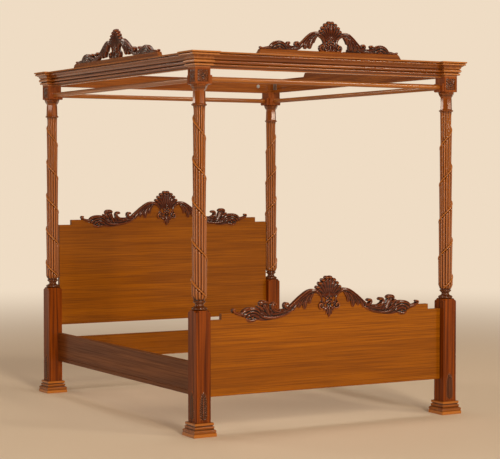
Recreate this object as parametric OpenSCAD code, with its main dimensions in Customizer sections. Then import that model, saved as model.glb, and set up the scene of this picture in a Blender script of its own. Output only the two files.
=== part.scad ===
// Four poster canopy bed: turned posts on square legs, a moulded cornice with
// carved crests, a carved headboard and footboard, and two side rails.
// Origin: floor level, centre of the bed. +X to the right seen from the foot,
// +Y towards the head, +Z up. Sizes in millimetres.

/* [Plan] */
// Distance between post centres across the bed
post_spacing_x = 1720; // [1640:10:1900]
// Distance between post centres from foot to head
post_spacing_y = 2100; // [2060:10:2200]

/* [Legs and plinths] */
// Side of the square leg
leg_w = 94; // [90:1:100]
// Height of the leg's top above the floor
leg_top = 710; // [700:5:760]
// Side of the plinth at the floor
plinth_w = 144; // [136:2:160]
// Height of the plinth
plinth_h = 79; // [75:1:95]

/* [Columns and capitals] */
// Column diameter just above the neck mouldings
column_d = 93; // [84:1:94]
// Column diameter under the ring
column_top_d = 72; // [68:1:76]
// Height of the capital block's underside
capital_bottom = 1977; // [1900:1:2020]
// Height of the capital block
capital_h = 93; // [88:1:100]

/* [Cornice] */
// Height of the cornice over the capitals
cornice_h = 90; // [86:1:100]
// How far the breakfront corners overhang the capital at the top
cornice_lip = 44; // [38:1:48]
// How far the straight boards stand behind the corners
cornice_setback = 35; // [30:1:38]

/* [Headboard and footboard] */
// Thickness of both panels
board_t = 28; // [24:1:32]
// Underside of the footboard
foot_board_bottom = 216; // [200:2:230]
// Top edge of the footboard beside its carving
foot_board_top = 683; // [670:1:700]
// Underside of the headboard
head_board_bottom = 455; // [430:5:500]
// Top edge of the headboard beside its carving
head_board_top = 1165; // [1100:5:1250]

/* [Side rails] */
// Underside of the side rails
rail_bottom = 213; // [200:1:230]
// Height of the side rails
rail_h = 191; // [180:1:200]
// Thickness of the side rails
rail_t = 27; // [26:1:30]

/* [Curtain poles] */
// Diameter of the four curtain poles
pole_d = 30; // [24:1:32]
// Radial play of a pole in its socket
pole_play = 0.3; // [0.3:0.1:0.6]

/* [Hidden] */
$fn = 96;
fit = 0.15; // radial gap round hidden dowels and studs
slack = 0.5; // gap round tenons in their mortises

// Plan
post_x = post_spacing_x / 2;
post_y = post_spacing_y / 2;
half_leg = leg_w / 2;
bay_x = post_x - half_leg; // from the middle to a leg's inner face
bay_y = post_y - half_leg;

// Post heights
column_r = column_d / 2;
column_top_r = column_top_d / 2;
bell_neck_h = 120; // from the ring to the capital
ring_z = capital_bottom - bell_neck_h;
bell_h = 38;
capital_top = capital_bottom + capital_h;
half_capital = leg_w / 2;
panel_margin = 12; // plain frame round a capital's carved panel
panel_recess = 5;
leaf_foot = plinth_h + 8; // carved leaf of a leg
leaf_h = 170;

// Cornice
cornice_top = capital_top + cornice_h;
run_drop = 5; // the straight boards reach this far below the corners
run_back = 8; // inner face of the boards, inside the post centre line
seat_len = 200; // longer than the corner, to cut the boards' seats from it

// Boards: both stand this much towards the head from the post centres
board_shift = 6;
board_mid = [-post_y + board_shift, post_y + board_shift];
step_in = 91; // width of the low steps beside the legs
step_drop = 33;
tenon_t = 12;
tenon_depth = 22;
head_rail_bottom = 209;
head_rail_top = 368;
carving_front = 13; // how far the carvings stand in front of the panels

// Side rails
rail_outer = 19; // outer face, inside the post centre line
rail_mid_x = post_x - rail_outer - rail_t / 2;
rail_mid_z = rail_bottom + rail_h / 2;
ledger_w = 30;
ledger_bottom = rail_bottom + 12;
stud_d = 8;
stud_in_leg = 77;
stud_in_rail = 63;
pocket_d = 44;
pocket_in = 52; // pocket centre from the rail's end
pocket_wall = 4; // wood left between a pocket and the outer face
washer_face = 43; // flat side of the pocket that the washer bears on, from the rail's end
washer_d = 17;
washer_t = 2;
nut_flats = 13;
nut_h = 6.5;
rail_dowel_d = 12;
rail_dowel_len = 60;
rail_dowel_rise = 60;
screw_len = 45;
screw_d = 4;
screw_head_d = 9;
screw_spacing = 300;

// Curtain poles
pole_z = capital_bottom + 30;
socket_t = 13;
socket_h = 51;
socket_w = 88;
pole_end_gap = 1;

// Canopy joints and crests
column_stud_len = 119;
canopy_dowel_d = 20;
canopy_dowel_in = 39; // how far it runs into the column and into the cornice
hole_over = 1; // how much deeper a hole is than what goes in
cornice_dowel_d = 10;
cornice_dowel_len = 50;
cornice_dowel_z = capital_top + 34;
bolt_d = 8;
bolt_in = 10;
bolt_washer_d = 26;
bolt_washer_t = 2.5;
bolt_z = capital_top + 42;
bolt_from_post = 113;
plate_t = 2;
plate_w = 44;
plate_h = 52;
plate_from_post = 71;
crest_dowel_d = 8;
crest_dowel_in = 20; // how far it runs past the strip into the cornice and the crest
crest_line = 19; // crests stand this far outside the post centre line
crest_strip_t = 30;
crest_strip_h = 29;
crest_t = 28;
strip_half = [496, 610, 610]; // foot, left, right

wood = "peru";
dark_wood = "saddlebrown";
panel_wood = "chocolate";
pale_wood = "burlywood";

CORNERS = ["foot_left", "foot_right", "head_left", "head_right"];
SIGNS = [[-1, -1], [1, -1], [-1, 1], [1, 1]];
SIDES = ["foot", "head", "left", "right"];
CRESTS = ["foot", "left", "right"];

// ---------- outlines ----------

// Points along an arc from angle a0 to a1 in n steps
function arc(centre, r, a0, a1, n = 6) =
    [for (i = [0:n]) centre + r * [cos(a0 + (a1 - a0) * i / n), sin(a0 + (a1 - a0) * i / n)]];

// A point of the smooth curve through b and c, with neighbours a and d
function blend(a, b, c, d, t) =
    0.5 * (2 * b + (c - a) * t + (2 * a - 5 * b + 4 * c - d) * t * t
    + (3 * b - a - 3 * c + d) * t * t * t);

// A smooth open curve through the points, n steps to each stretch
function smooth(p, n = 3) = concat(
    [for (i = [0:len(p) - 2], k = [0:n - 1])
        blend(p[max(i - 1, 0)], p[i], p[i + 1], p[min(i + 2, len(p) - 1)], k / n)],
    [p[len(p) - 1]]
);

function reversed(p) = [for (i = [len(p) - 1:-1:0]) p[i]];
function flipped(p) = [for (q = reversed(p)) [-q[0], q[1]]];

// Height rises along each of these outlines: [distance from the axis, height]
plinth_outline = concat(
    [[plinth_w / 2 - 1.5, 0], [plinth_w / 2, 2], [plinth_w / 2, 19], [plinth_w / 2 - 3.5, 22]],
    arc([plinth_w / 2 - 12, 30], 11, -40, 85, 7),
    [[plinth_w / 2 - 12, 44.5]],
    arc([plinth_w / 2 - 17, 52], 7.5, -50, 90, 7),
    [[plinth_w / 2 - 17, 62.5], [plinth_w / 2 - 13, plinth_h - 14]],
    [[plinth_w / 2 - 12, plinth_h - 12], [plinth_w / 2 - 12, plinth_h - 3], [plinth_w / 2 - 14, plinth_h]]
);

neck_outline = concat(
    [[0, 0], [36, 0], [42, 3]],
    arc([36, 10], 8, -30, 70, 5),
    [[30, 21], [25, 25], [23.5, 30], [25, 36], [31, 42]],
    arc([31, 49], 5, -60, 60, 5),
    [[29.5, 57], [29.5, 60], [34, 63], [40, 69], [44.5, 78]],
    [[column_r, 90]]
);

ring_outline = concat(
    [[column_top_r, 0]],
    arc([column_top_r + 3, 5], 5, -90, 90, 6),
    [[34, 11], [34, 13], [0, 13]]
);

bell_outline = concat(
    [[35, 4], [33.5, bell_neck_h - bell_h - 3], [31.5, bell_neck_h - bell_h]],
    [[33.5, bell_neck_h - 32], [37.5, bell_neck_h - 26], [41.5, bell_neck_h - 19]],
    [[44, bell_neck_h - 12], [42.5, bell_neck_h - 10]],
    arc([42.5, bell_neck_h - 5], 4, -90, 90, 5),
    [[42.5, bell_neck_h]]
);

// Breakfront moulding over a block of half width w, from the bottom up
function cornice_outline(w) = concat(
    [[w, 0], [w + 1, 7]],
    arc([w + 7, 14.5], 7, -80, 80, 8),
    [[w + 6.5, 23]],
    arc([w + 10, 34], 9.5, -80, 80, 9),
    [[w + 11, 45], [w + 17, 48]],
    arc([w + 33, 48.5], 16, 180, 110, 5),
    [[w + 29, 66]],
    arc([w + 33, 72.5], 6, -90, 70, 6),
    [[w + cornice_lip - 6, 80], [w + cornice_lip, cornice_h - 8], [w + cornice_lip, cornice_h]]
);

// ---------- building blocks ----------

// A bar along Y whose section is the outline and its mirror image
module outline_bar(outline, length) {
    rotate([90, 0, 0])
        linear_extrude(length, center = true)
            polygon(concat(outline, flipped(outline)));
}

// A square block with the same moulding on all four faces, mitred
module square_moulding(outline) {
    length = 3 * outline[len(outline) - 1][0] + 3 * outline[0][0];
    intersection() {
        outline_bar(outline, length);
        rotate([0, 0, 90]) outline_bar(outline, length);
    }
}

// The same with eight faces
module eight_sided_moulding(outline) {
    intersection() {
        square_moulding(outline);
        rotate([0, 0, 45]) square_moulding(outline);
    }
}

// Children drawn for the head right corner, moved to the corner i
module at_corner(i) {
    translate([SIGNS[i][0] * post_x, SIGNS[i][1] * post_y, 0])
        mirror([SIGNS[i][0] < 0 ? 1 : 0, 0, 0])
            mirror([0, SIGNS[i][1] < 0 ? 1 : 0, 0])
                children();
}

module at_all_corners() {
    for (i = [0:3]) at_corner(i) children();
}

// Children drawn along the right side, outward +X, moved to side s
module at_side(s) {
    if (s == "right") translate([post_x, 0, 0]) children();
    if (s == "left") translate([-post_x, 0, 0]) rotate([0, 0, 180]) children();
    if (s == "head") translate([0, post_y, 0]) rotate([0, 0, 90]) children();
    if (s == "foot") translate([0, -post_y, 0]) rotate([0, 0, -90]) children();
}

function half_run(s) = s == "left" || s == "right" ? bay_y : bay_x;

// A rod centred on the origin, along X, Y or Z
module rod_x(d, length) { rotate([0, 90, 0]) cylinder(d = d, h = length, center = true); }
module rod_y(d, length) { rotate([90, 0, 0]) cylinder(d = d, h = length, center = true); }
module rod_z(d, length) { cylinder(d = d, h = length, center = true); }

// ---------- posts: drawn for the head right corner, axis on Z ----------

module plinth() {
    color(wood) square_moulding(plinth_outline);
}

// Shape of the two tenons that enter a leg from its inner face.
// top and bottom are lists of heights; play widens them into mortises.
module tenons(spans, middle, play = 0) {
    for (s = spans)
        translate([-half_leg - 1, middle - tenon_t / 2 - play, s[0] - play])
            cube([tenon_depth + 1 + play, tenon_t + 2 * play, s[1] - s[0] + 2 * play]);
}

foot_tenons = [[foot_board_bottom + 20, foot_board_bottom + 70],
               [foot_board_bottom + 116, foot_board_top - 63]];
head_tenons = [[head_board_bottom + 25, leg_top - 30]];
lower_tenons = [[head_rail_bottom + 20, head_rail_bottom + 72]];

module leg(at_head) {
    color(wood) difference() {
        translate([0, 0, plinth_h]) intersection() {
            translate([-half_leg, -half_leg, 0]) cube([leg_w, leg_w, leg_top - plinth_h]);
            // the lathe rounds the corners off at the top
            rotate_extrude() polygon(concat(
                [[0, -1], [half_leg * sqrt(2) + 1, -1], [half_leg * sqrt(2) + 1, leg_top - plinth_h - 30]],
                arc([half_leg + 3, leg_top - plinth_h - 26], 19, 10, 70, 6),
                [[half_leg + 5, leg_top - plinth_h], [0, leg_top - plinth_h]]
            ));
        }
        if (at_head) {
            tenons(head_tenons, board_shift, slack);
            tenons(lower_tenons, board_shift, slack);
        } else {
            tenons(foot_tenons, -board_shift, slack);
        }
        // side rail stud and dowels
        translate([-rail_outer - rail_t / 2, -half_leg, rail_mid_z]) {
            rod_y(stud_d + 2 * fit, 2 * (stud_in_leg + hole_over));
            for (s = [-1, 1])
                translate([0, 0, s * rail_dowel_rise])
                    rod_y(rail_dowel_d + 2 * fit, rail_dowel_len + 2 * hole_over);
        }
        // stud that holds the column
        translate([0, 0, leg_top]) rod_z(stud_d + 2 * fit, column_stud_len + 2 * hole_over);
    }
}

module column() {
    color(wood) difference() {
        union() {
            translate([0, 0, leg_top]) rotate_extrude()
                polygon(concat(neck_outline, [[column_top_r, ring_z - leg_top], [0, ring_z - leg_top]]));
            translate([0, 0, ring_z]) rotate_extrude()
                polygon(concat([[0, 0]], ring_outline));
            translate([0, 0, ring_z]) eight_sided_moulding(bell_outline);
        }
        translate([0, 0, leg_top]) rod_z(stud_d + 2 * fit, column_stud_len + 2 * hole_over);
        translate([0, 0, capital_bottom])
            rod_z(canopy_dowel_d + 2 * fit, 2 * (canopy_dowel_in + hole_over));
    }
}

// Square recess of the carved panels, in the capital's outer face towards +X
module panel_recess_cut() {
    side = leg_w - 2 * panel_margin;
    translate([half_capital - panel_recess, -side / 2, capital_bottom + panel_margin])
        cube([panel_recess + 1, side, capital_h - 2 * panel_margin]);
}

module capital() {
    color(dark_wood) difference() {
        translate([-half_capital, -half_capital, capital_bottom]) cube([leg_w, leg_w, capital_h]);
        panel_recess_cut();
        rotate([0, 0, 90]) panel_recess_cut();
        translate([0, 0, capital_bottom + capital_h / 2]) rod_z(canopy_dowel_d + 2 * fit, capital_h + 2);
    }
}

// Flower with four leaves, on a thin ground, for one capital face
module capital_flower() {
    side = leg_w - 2 * panel_margin - 1;
    translate([half_capital - panel_recess, 0, capital_bottom + capital_h / 2]) rotate([0, 90, 0]) {
        translate([-side / 2, -side / 2, 0]) cube([side, side, 2]);
        for (a = [45:90:315]) rotate(a) translate([19, 0, 0]) cylinder(r = 11, h = 4, $fn = 32);
        for (a = [0:90:270]) rotate(a) translate([14, 0, 0]) cylinder(r = 7, h = 4.5, $fn = 32);
        cylinder(r = 8, h = panel_recess, $fn = 32);
    }
}

module capital_carvings() {
    color(dark_wood) at_all_corners() {
        capital_flower();
        mirror([1, -1, 0]) capital_flower();
    }
}

// Carved leaf on a leg's outer face towards +X
leaf_outline = smooth([[22, 0], [28, 12], [25, 34], [26, 60], [23, 88], [24, 114], [21, 136],
    [15, 154], [7, 166], [0, leaf_h]]);

module leg_leaf() {
    translate([half_leg, 0, leaf_foot]) rotate([90, 0, 90])
        linear_extrude(5) polygon(concat(leaf_outline, flipped(leaf_outline)));
}

module leg_leaf_carvings() {
    color(dark_wood) at_all_corners() {
        leg_leaf();
        mirror([1, -1, 0]) leg_leaf();
    }
}

// ---------- cornice ----------

// One straight board with its moulding, centred, along Y, outward +X
module cornice_board(half_length) {
    outline = cornice_outline(half_capital - cornice_setback);
    rotate([90, 0, 0]) linear_extrude(2 * half_length, center = true)
        polygon(concat(
            [[-run_back, cornice_top], [-run_back, capital_top - run_drop],
             [half_capital - cornice_setback, capital_top - run_drop]],
            [for (q = outline) [q[0], q[1] + capital_top]]
        ));
}

module cornice_dowel_pair(half_length, play = 0) {
    for (s = [-1, 1])
        translate([2, s * half_length, cornice_dowel_z])
            rod_y(cornice_dowel_d + 2 * play, cornice_dowel_len + (play > 0 ? 2 * hole_over : 0));
}

module bolt_positions(half_length) {
    for (s = [-1, 1])
        translate([-run_back, s * (half_length + half_leg - bolt_from_post), bolt_z])
            rotate([0, -90, 0]) children();
}

function crest_index(s) = search([s], CRESTS)[0];
function crest_dowels_at(i) = [-0.7 * strip_half[i], 0, 0.7 * strip_half[i]];

module crest_dowel_row(s, play = 0) {
    for (y = crest_dowels_at(crest_index(s)))
        translate([crest_line, y, cornice_top + crest_strip_h / 2])
            rod_z(crest_dowel_d + 2 * play,
                crest_strip_h + 2 * crest_dowel_in + (play > 0 ? 2 * hole_over : 0));
}

module cornice(s) {
    color(wood) difference() {
        cornice_board(half_run(s));
        cornice_dowel_pair(half_run(s), fit);
        if (s != "head") crest_dowel_row(s, fit);
        if (s == "foot" || s == "head")
            bolt_positions(half_run(s)) translate([0, 0, -bolt_in - hole_over])
                cylinder(d = bolt_d + 2 * fit, h = bolt_in + 2 * hole_over);
    }
}

// Breakfront corner: the moulding returns on both sides as far as the boards
module cornice_corner() {
    inner = half_capital + cornice_lip + 1;
    color(wood) difference() {
        translate([0, 0, capital_top]) square_moulding(cornice_outline(half_capital));
        translate([-inner - run_back, -inner - run_back, capital_top - 1])
            cube([inner, inner, cornice_h + 2]);
        // seats of the two boards
        translate([0, -half_leg - seat_len, 0]) cornice_board(seat_len);
        mirror([1, -1, 0]) translate([0, -half_leg - seat_len, 0]) cornice_board(seat_len);
        // what would stand inside the boards' inner faces
        translate([-run_back - inner, -half_leg - inner, capital_top - 1])
            cube([inner, inner, cornice_h + 2]);
        translate([-half_leg - inner, -run_back - inner, capital_top - 1])
            cube([inner, inner, cornice_h + 2]);
        translate([0, -half_leg, 0]) cornice_dowel_hole();
        mirror([1, -1, 0]) translate([0, -half_leg, 0]) cornice_dowel_hole();
        translate([0, 0, capital_top])
            rod_z(canopy_dowel_d + 2 * fit, 2 * (canopy_dowel_in + hole_over));
    }
}

module cornice_dowel_hole() {
    translate([2, 0, cornice_dowel_z])
        rod_y(cornice_dowel_d + 2 * fit, cornice_dowel_len + 2 * hole_over);
}

// Strip under a crest, with bevelled ends and a chamfered front edge
module crest_strip(s) {
    half = strip_half[crest_index(s)];
    bevel = 18;
    color(dark_wood) difference() {
        translate([crest_line, 0, cornice_top]) intersection() {
            rotate([90, 0, 90]) linear_extrude(crest_strip_t, center = true)
                polygon([[-half, 0], [half, 0], [half - bevel, crest_strip_h],
                    [bevel - half, crest_strip_h]]);
            rotate([90, 0, 0]) linear_extrude(2 * half, center = true)
                polygon([[-crest_strip_t / 2, 0], [crest_strip_t / 2, 0], [crest_strip_t / 2, 20],
                    [crest_strip_t / 2 - 6, crest_strip_h], [-crest_strip_t / 2, crest_strip_h]]);
        }
        crest_dowel_row(s, fit);
    }
}

// Half outline of a crest over its strip, from the end to the middle
crest_half = smooth([[478, 0], [482, 8], [472, 16], [452, 13], [430, 8], [405, 18], [378, 42],
    [352, 50], [332, 42], [316, 27], [306, 34], [299, 46], [284, 49], [270, 43], [261, 30],
    [248, 36], [240, 49], [226, 54], [212, 48], [204, 36], [186, 48], [166, 66], [140, 90],
    [115, 106], [90, 112], [76, 112], [72, 128], [68, 145], [54, 163], [34, 175], [14, 180], [0, 180.5]]);

// Opening between the arch and the shell's stem
arch_opening = smooth([[46, 30], [50, 6], [84, 4], [120, 6], [116, 30], [106, 46], [102, 66], [90, 76],
    [74, 74], [60, 58], [46, 30]]);

// The side crests are longer: beyond the arches their leaves are drawn out k times as far
function drawn_out(x, k) =
    x < 130 ? x : 130 + (x - 130) * (k * crest_half[0][0] - 130) / (crest_half[0][0] - 130);

module crest_shape(k) {
    half = [for (q = crest_half) [drawn_out(q[0], k), q[1]]];
    difference() {
        polygon(concat(half, flipped(half)));
        polygon(arch_opening);
        polygon(flipped(arch_opening));
    }
}

module crest(s) {
    color(dark_wood) difference() {
        translate([crest_line, 0, cornice_top + crest_strip_h])
            rotate([90, 0, 90]) linear_extrude(crest_t, center = true)
                crest_shape(strip_half[crest_index(s)] / strip_half[0]);
        crest_dowel_row(s, fit);
    }
}

// ---------- headboard and footboard ----------

// Half of the panel's top edge from the middle to the step, heights from its top
panel_edge = smooth([[0, 100], [60, 100], [105, 98], [140, 84], [180, 58], [220, 26], [260, 0],
    [310, -28], [380, -42], [460, -44], [540, -38], [590, -22], [625, -4]]);

module board_shape(bottom, top) {
    step_x = bay_x - step_in;
    half = concat(
        [for (q = panel_edge) [q[0], top + q[1]]],
        [[640, top], [step_x, top], [step_x, top - step_drop], [bay_x, top - step_drop], [bay_x, bottom]]
    );
    polygon(concat(half, flipped(half)));
}

module board_panel(bottom, top, middle) {
    translate([0, middle, 0]) rotate([90, 0, 0])
        linear_extrude(board_t, center = true) board_shape(bottom, top);
}

// Tenons on both ends of a board, at Y = middle
module end_tenons(spans, middle) {
    for (s = [-1, 1], t = spans)
        translate([s * (bay_x + tenon_depth / 2), middle, (t[0] + t[1]) / 2])
            cube([tenon_depth, tenon_t, t[1] - t[0]], center = true);
}

module footboard_panel() {
    color(panel_wood) {
        board_panel(foot_board_bottom, foot_board_top, board_mid[0]);
        end_tenons(foot_tenons, board_mid[0]);
    }
}

module headboard_panel() {
    color(panel_wood) {
        board_panel(head_board_bottom, head_board_top, board_mid[1]);
        end_tenons(head_tenons, board_mid[1]);
    }
}

module head_lower_rail() {
    color(panel_wood) {
        translate([0, board_mid[1], (head_rail_bottom + head_rail_top) / 2])
            cube([2 * bay_x, board_t, head_rail_top - head_rail_bottom], center = true);
        end_tenons(lower_tenons, board_mid[1]);
    }
}

// Half outline of a board carving, heights from the board's top edge:
// the lower edge from the pendant out to the end scroll, and back over the top
carving_lower = smooth([[0, -54], [14, -38], [28, -10], [50, 3], [70, 2], [79, 16], [73, 34], [78, 60],
    [94, 82], [110, 82], [123, 60], [130, 31], [148, 18], [167, -6], [184, -4], [206, 4], [250, -8],
    [310, -26], [380, -38], [450, -35], [500, -40], [533, -50], [558, -44], [592, -22], [626, -4], [646, 8]]);
carving_upper = smooth([[650, 18], [640, 27], [624, 25], [611, 12], [590, 8], [565, 18], [535, 24],
    [500, 22], [476, 36], [462, 52], [440, 60], [421, 55], [413, 38], [414, 16], [404, -8], [397, -26],
    [389, -8], [393, 20], [393, 42], [379, 51], [362, 47], [353, 30], [344, 10], [320, 3], [306, 13],
    [300, 36], [286, 44], [272, 38], [265, 24], [252, 38], [225, 62], [190, 92], [160, 110], [130, 115],
    [102, 120], [88, 130], [85, 148], [72, 166], [55, 180], [35, 190], [15, 195], [0, 196]]);

module board_carving(bottom, top, middle) {
    half = concat(carving_lower, carving_upper);
    color(dark_wood) difference() {
        translate([0, middle - board_t / 2 - carving_front, top])
            rotate([-90, 0, 0]) mirror([0, 1, 0])
                linear_extrude(board_t + carving_front) polygon(concat(half, flipped(half)));
        board_panel(bottom, top, middle);
    }
}

// ---------- side rails, drawn for the right side ----------

module at_rail_ends() {
    for (s = [-1, 1]) translate([rail_mid_x, s * bay_y, rail_mid_z]) children();
}

module side_rail() {
    quirk = 4;
    quirk_z = 27;
    half_t = rail_t / 2;
    color(wood) difference() {
        translate([rail_mid_x, 0, rail_bottom]) rotate([90, 0, 0])
            linear_extrude(2 * bay_y, center = true)
                polygon(concat(
                    [[-half_t, 0], [half_t - 2, 0], [half_t, 2], [half_t, quirk_z - quirk]],
                    [[half_t - 2.5, quirk_z - 2], [half_t, quirk_z]],
                    [[half_t, rail_h - 3], [half_t - 3, rail_h], [3 - half_t, rail_h], [-half_t, rail_h - 3]]
                ));
        at_rail_ends() {
            rod_y(stud_d + 2 * fit, 2 * (stud_in_rail + hole_over));
            for (s = [-1, 1])
                translate([0, 0, s * rail_dowel_rise])
                    rod_y(rail_dowel_d + 2 * fit, rail_dowel_len + 2 * hole_over);
        }
        rail_pockets();
        ledger_screw_row(fit);
    }
}

// Bored from the inner face, with a flat side towards the leg for the washer
module rail_pockets() {
    for (s = [0, 1]) mirror([0, s, 0])
        translate([rail_mid_x - rail_t / 2 - 1, bay_y - pocket_in, rail_mid_z]) intersection() {
            rotate([0, 90, 0]) cylinder(d = pocket_d, h = rail_t + 1 - pocket_wall);
            translate([0, pocket_in - washer_face - pocket_d, -pocket_d / 2])
                cube([rail_t, pocket_d, pocket_d]);
        }
}

module ledger() {
    color(pale_wood) difference() {
        translate([rail_mid_x - rail_t / 2 - ledger_w, 20 - bay_y, ledger_bottom])
            cube([ledger_w, 2 * bay_y - 40, ledger_w]);
        ledger_screw_row(fit);
    }
}

module ledger_screw_row(play = 0) {
    for (k = [-3:3])
        translate([rail_mid_x - rail_t / 2 - ledger_w - 0.01, k * screw_spacing,
            ledger_bottom + ledger_w / 2]) rotate([0, 90, 0]) {
                cylinder(d = screw_d + 2 * play, h = screw_len + play);
                cylinder(d1 = screw_head_d + 2 * play, d2 = screw_d + 2 * play, h = 3);
            }
}

module on_both_sides() {
    children();
    mirror([1, 0, 0]) children();
}

module rail_studs() {
    color("silver") on_both_sides() for (s = [-1, 1])
        translate([rail_mid_x, s * (bay_y + (stud_in_leg - stud_in_rail) / 2), rail_mid_z])
            rod_y(stud_d, stud_in_leg + stud_in_rail);
}

module pocket_hardware() {
    on_both_sides() for (s = [0, 1])
        mirror([0, s, 0]) translate([rail_mid_x, bay_y - washer_face, rail_mid_z])
            rotate([90, 0, 0]) children();
}

module rail_washers() {
    color("silver") pocket_hardware() difference() {
        cylinder(d = washer_d, h = washer_t);
        translate([0, 0, -1]) cylinder(d = stud_d + 2 * fit, h = washer_t + 2);
    }
}

module rail_nuts() {
    color("silver") pocket_hardware() translate([0, 0, washer_t]) difference() {
        cylinder(d = nut_flats / cos(30), h = nut_h, $fn = 6);
        translate([0, 0, -1]) cylinder(d = stud_d + 2 * fit, h = nut_h + 2);
    }
}

module rail_dowels() {
    color(pale_wood) on_both_sides() at_rail_ends() for (s = [-1, 1])
        translate([0, 0, s * rail_dowel_rise]) rod_y(rail_dowel_d, rail_dowel_len);
}

module ledger_screws() {
    color("goldenrod") on_both_sides() ledger_screw_row();
}

// ---------- hidden joints of the posts and the canopy ----------

module column_studs() {
    color("silver") at_all_corners() translate([0, 0, leg_top]) rod_z(stud_d, column_stud_len);
}

module canopy_dowels() {
    color(pale_wood) at_all_corners()
        translate([0, 0, capital_bottom - canopy_dowel_in])
            cylinder(d = canopy_dowel_d, h = capital_h + 2 * canopy_dowel_in);
}

module cornice_dowels() {
    color(pale_wood) for (s = SIDES) at_side(s) cornice_dowel_pair(half_run(s));
}

module crest_dowels() {
    color(pale_wood) for (s = CRESTS) at_side(s) crest_dowel_row(s);
}

module cornice_bolts() {
    color("gray") for (s = ["foot", "head"]) at_side(s) bolt_positions(half_run(s)) {
        cylinder(d = bolt_washer_d, h = bolt_washer_t);
        cylinder(d = nut_flats / cos(30), h = bolt_washer_t + nut_h, $fn = 6);
        translate([0, 0, -bolt_in]) cylinder(d = bolt_d, h = bolt_in + 1);
    }
}

module cornice_plates() {
    color("gainsboro") for (s = ["left", "right"], e = [-1, 1])
        at_side(s)
            translate([-run_back - plate_t / 2, e * (post_y - plate_from_post), bolt_z]) difference() {
                cube([plate_t, plate_w, plate_h], center = true);
                for (z = [-16, 16]) translate([0, 0, z]) rod_x(5, 2 * plate_t);
            }
}

// ---------- curtain poles and their sockets ----------

module curtain_pole(s) {
    length = 2 * (half_run(s) - pole_end_gap);
    color(wood) translate([0, 0, pole_z]) rod_y(pole_d, length);
}

module pole_socket() {
    r = 8;
    half_w = socket_w / 2;
    translate([0, -half_leg, capital_bottom]) rotate([90, 0, 0]) difference() {
        linear_extrude(socket_t) polygon(concat(
            arc([r - half_w, r], r, 180, 270),
            arc([half_w - r, r], r, 270, 360),
            [[half_w, socket_h - 2], [half_w - 2, socket_h], [2 - half_w, socket_h], [-half_w, socket_h - 2]]
        ));
        translate([0, pole_z - capital_bottom, -1]) cylinder(d = pole_d + 2 * pole_play, h = socket_t + 2);
    }
}

module pole_sockets() {
    color(dark_wood) at_all_corners() {
        pole_socket();
        mirror([1, -1, 0]) pole_socket();
    }
}

// ---------- the nodes ----------

for (i = [0:3]) {
    at_corner(i) plinth();
    at_corner(i) leg(i > 1);
    at_corner(i) column();
    at_corner(i) capital();
    at_corner(i) cornice_corner();
}
for (s = SIDES) {
    at_side(s) cornice(s);
    at_side(s) curtain_pole(s);
}
for (s = CRESTS) {
    at_side(s) crest_strip(s);
    at_side(s) crest(s);
}
headboard_panel();
board_carving(head_board_bottom, head_board_top, board_mid[1]);  // headboard_carving
head_lower_rail();
footboard_panel();
board_carving(foot_board_bottom, foot_board_top, board_mid[0]);  // footboard_carving
mirror([1, 0, 0]) side_rail();  // left_side_rail
side_rail();  // right_side_rail
mirror([1, 0, 0]) ledger();  // left_ledger
ledger();  // right_ledger
leg_leaf_carvings();
capital_carvings();
pole_sockets();
rail_studs();
rail_nuts();
rail_washers();
rail_dowels();
ledger_screws();
column_studs();
canopy_dowels();
cornice_dowels();
crest_dowels();
cornice_bolts();
cornice_plates();
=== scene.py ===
# %% [markdown]
# # A four poster canopy bed, dressed in wood
# The real bed is stained mahogany: four posts with reeded, spiral-cut columns, a moulded
# cornice with carved crests, and a carved headboard and footboard. The plain shapes come
# ready made from the CAD model, which is loaded here as a fixed frame. This script adds
# what a carver and a polisher would add: the carving, the grain and the lacquer.

# %% Load the fixed frame
import math
from contextlib import contextmanager
from functools import partial

import bpy
import numpy as np
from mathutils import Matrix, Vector


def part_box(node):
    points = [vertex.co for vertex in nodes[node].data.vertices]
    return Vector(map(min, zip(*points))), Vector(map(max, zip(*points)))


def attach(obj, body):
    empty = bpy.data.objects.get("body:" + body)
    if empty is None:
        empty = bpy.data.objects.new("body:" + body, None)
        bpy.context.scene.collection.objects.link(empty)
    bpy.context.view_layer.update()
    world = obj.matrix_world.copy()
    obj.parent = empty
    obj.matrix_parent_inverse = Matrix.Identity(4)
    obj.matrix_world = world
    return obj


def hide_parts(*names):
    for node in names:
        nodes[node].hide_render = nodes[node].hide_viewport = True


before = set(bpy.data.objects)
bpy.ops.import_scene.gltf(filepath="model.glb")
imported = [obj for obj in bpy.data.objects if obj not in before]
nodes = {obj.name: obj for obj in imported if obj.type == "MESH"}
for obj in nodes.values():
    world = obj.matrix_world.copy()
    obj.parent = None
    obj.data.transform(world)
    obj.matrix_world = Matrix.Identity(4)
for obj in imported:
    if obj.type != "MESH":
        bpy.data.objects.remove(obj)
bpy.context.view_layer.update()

# %% [markdown]
# ## Small helpers
# Blender's operators work on whatever is selected, and the frame's nodes arrive selected.
# So every step first selects just the object it means. Sizes below are in millimetres, as
# a joiner writes them, and one factor turns them into Blender's metres.

# %% Selecting, applying and joining
MM = 0.001


def pick(*objects):
    """Selects these objects only; the first one is the active one."""
    bpy.ops.object.select_all(action="DESELECT")
    for thing in objects:
        thing.select_set(True)
    bpy.context.view_layer.objects.active = objects[0]
    return objects[0]


def named(name):
    """Names the object just made, and its mesh."""
    made = bpy.context.active_object
    made.name = made.data.name = name
    return made


def settle(piece):
    """Puts its place, turn and size into the mesh: the object is at the origin again."""
    pick(piece)
    bpy.ops.object.transform_apply(location=True, rotation=True, scale=True)
    return piece


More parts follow.
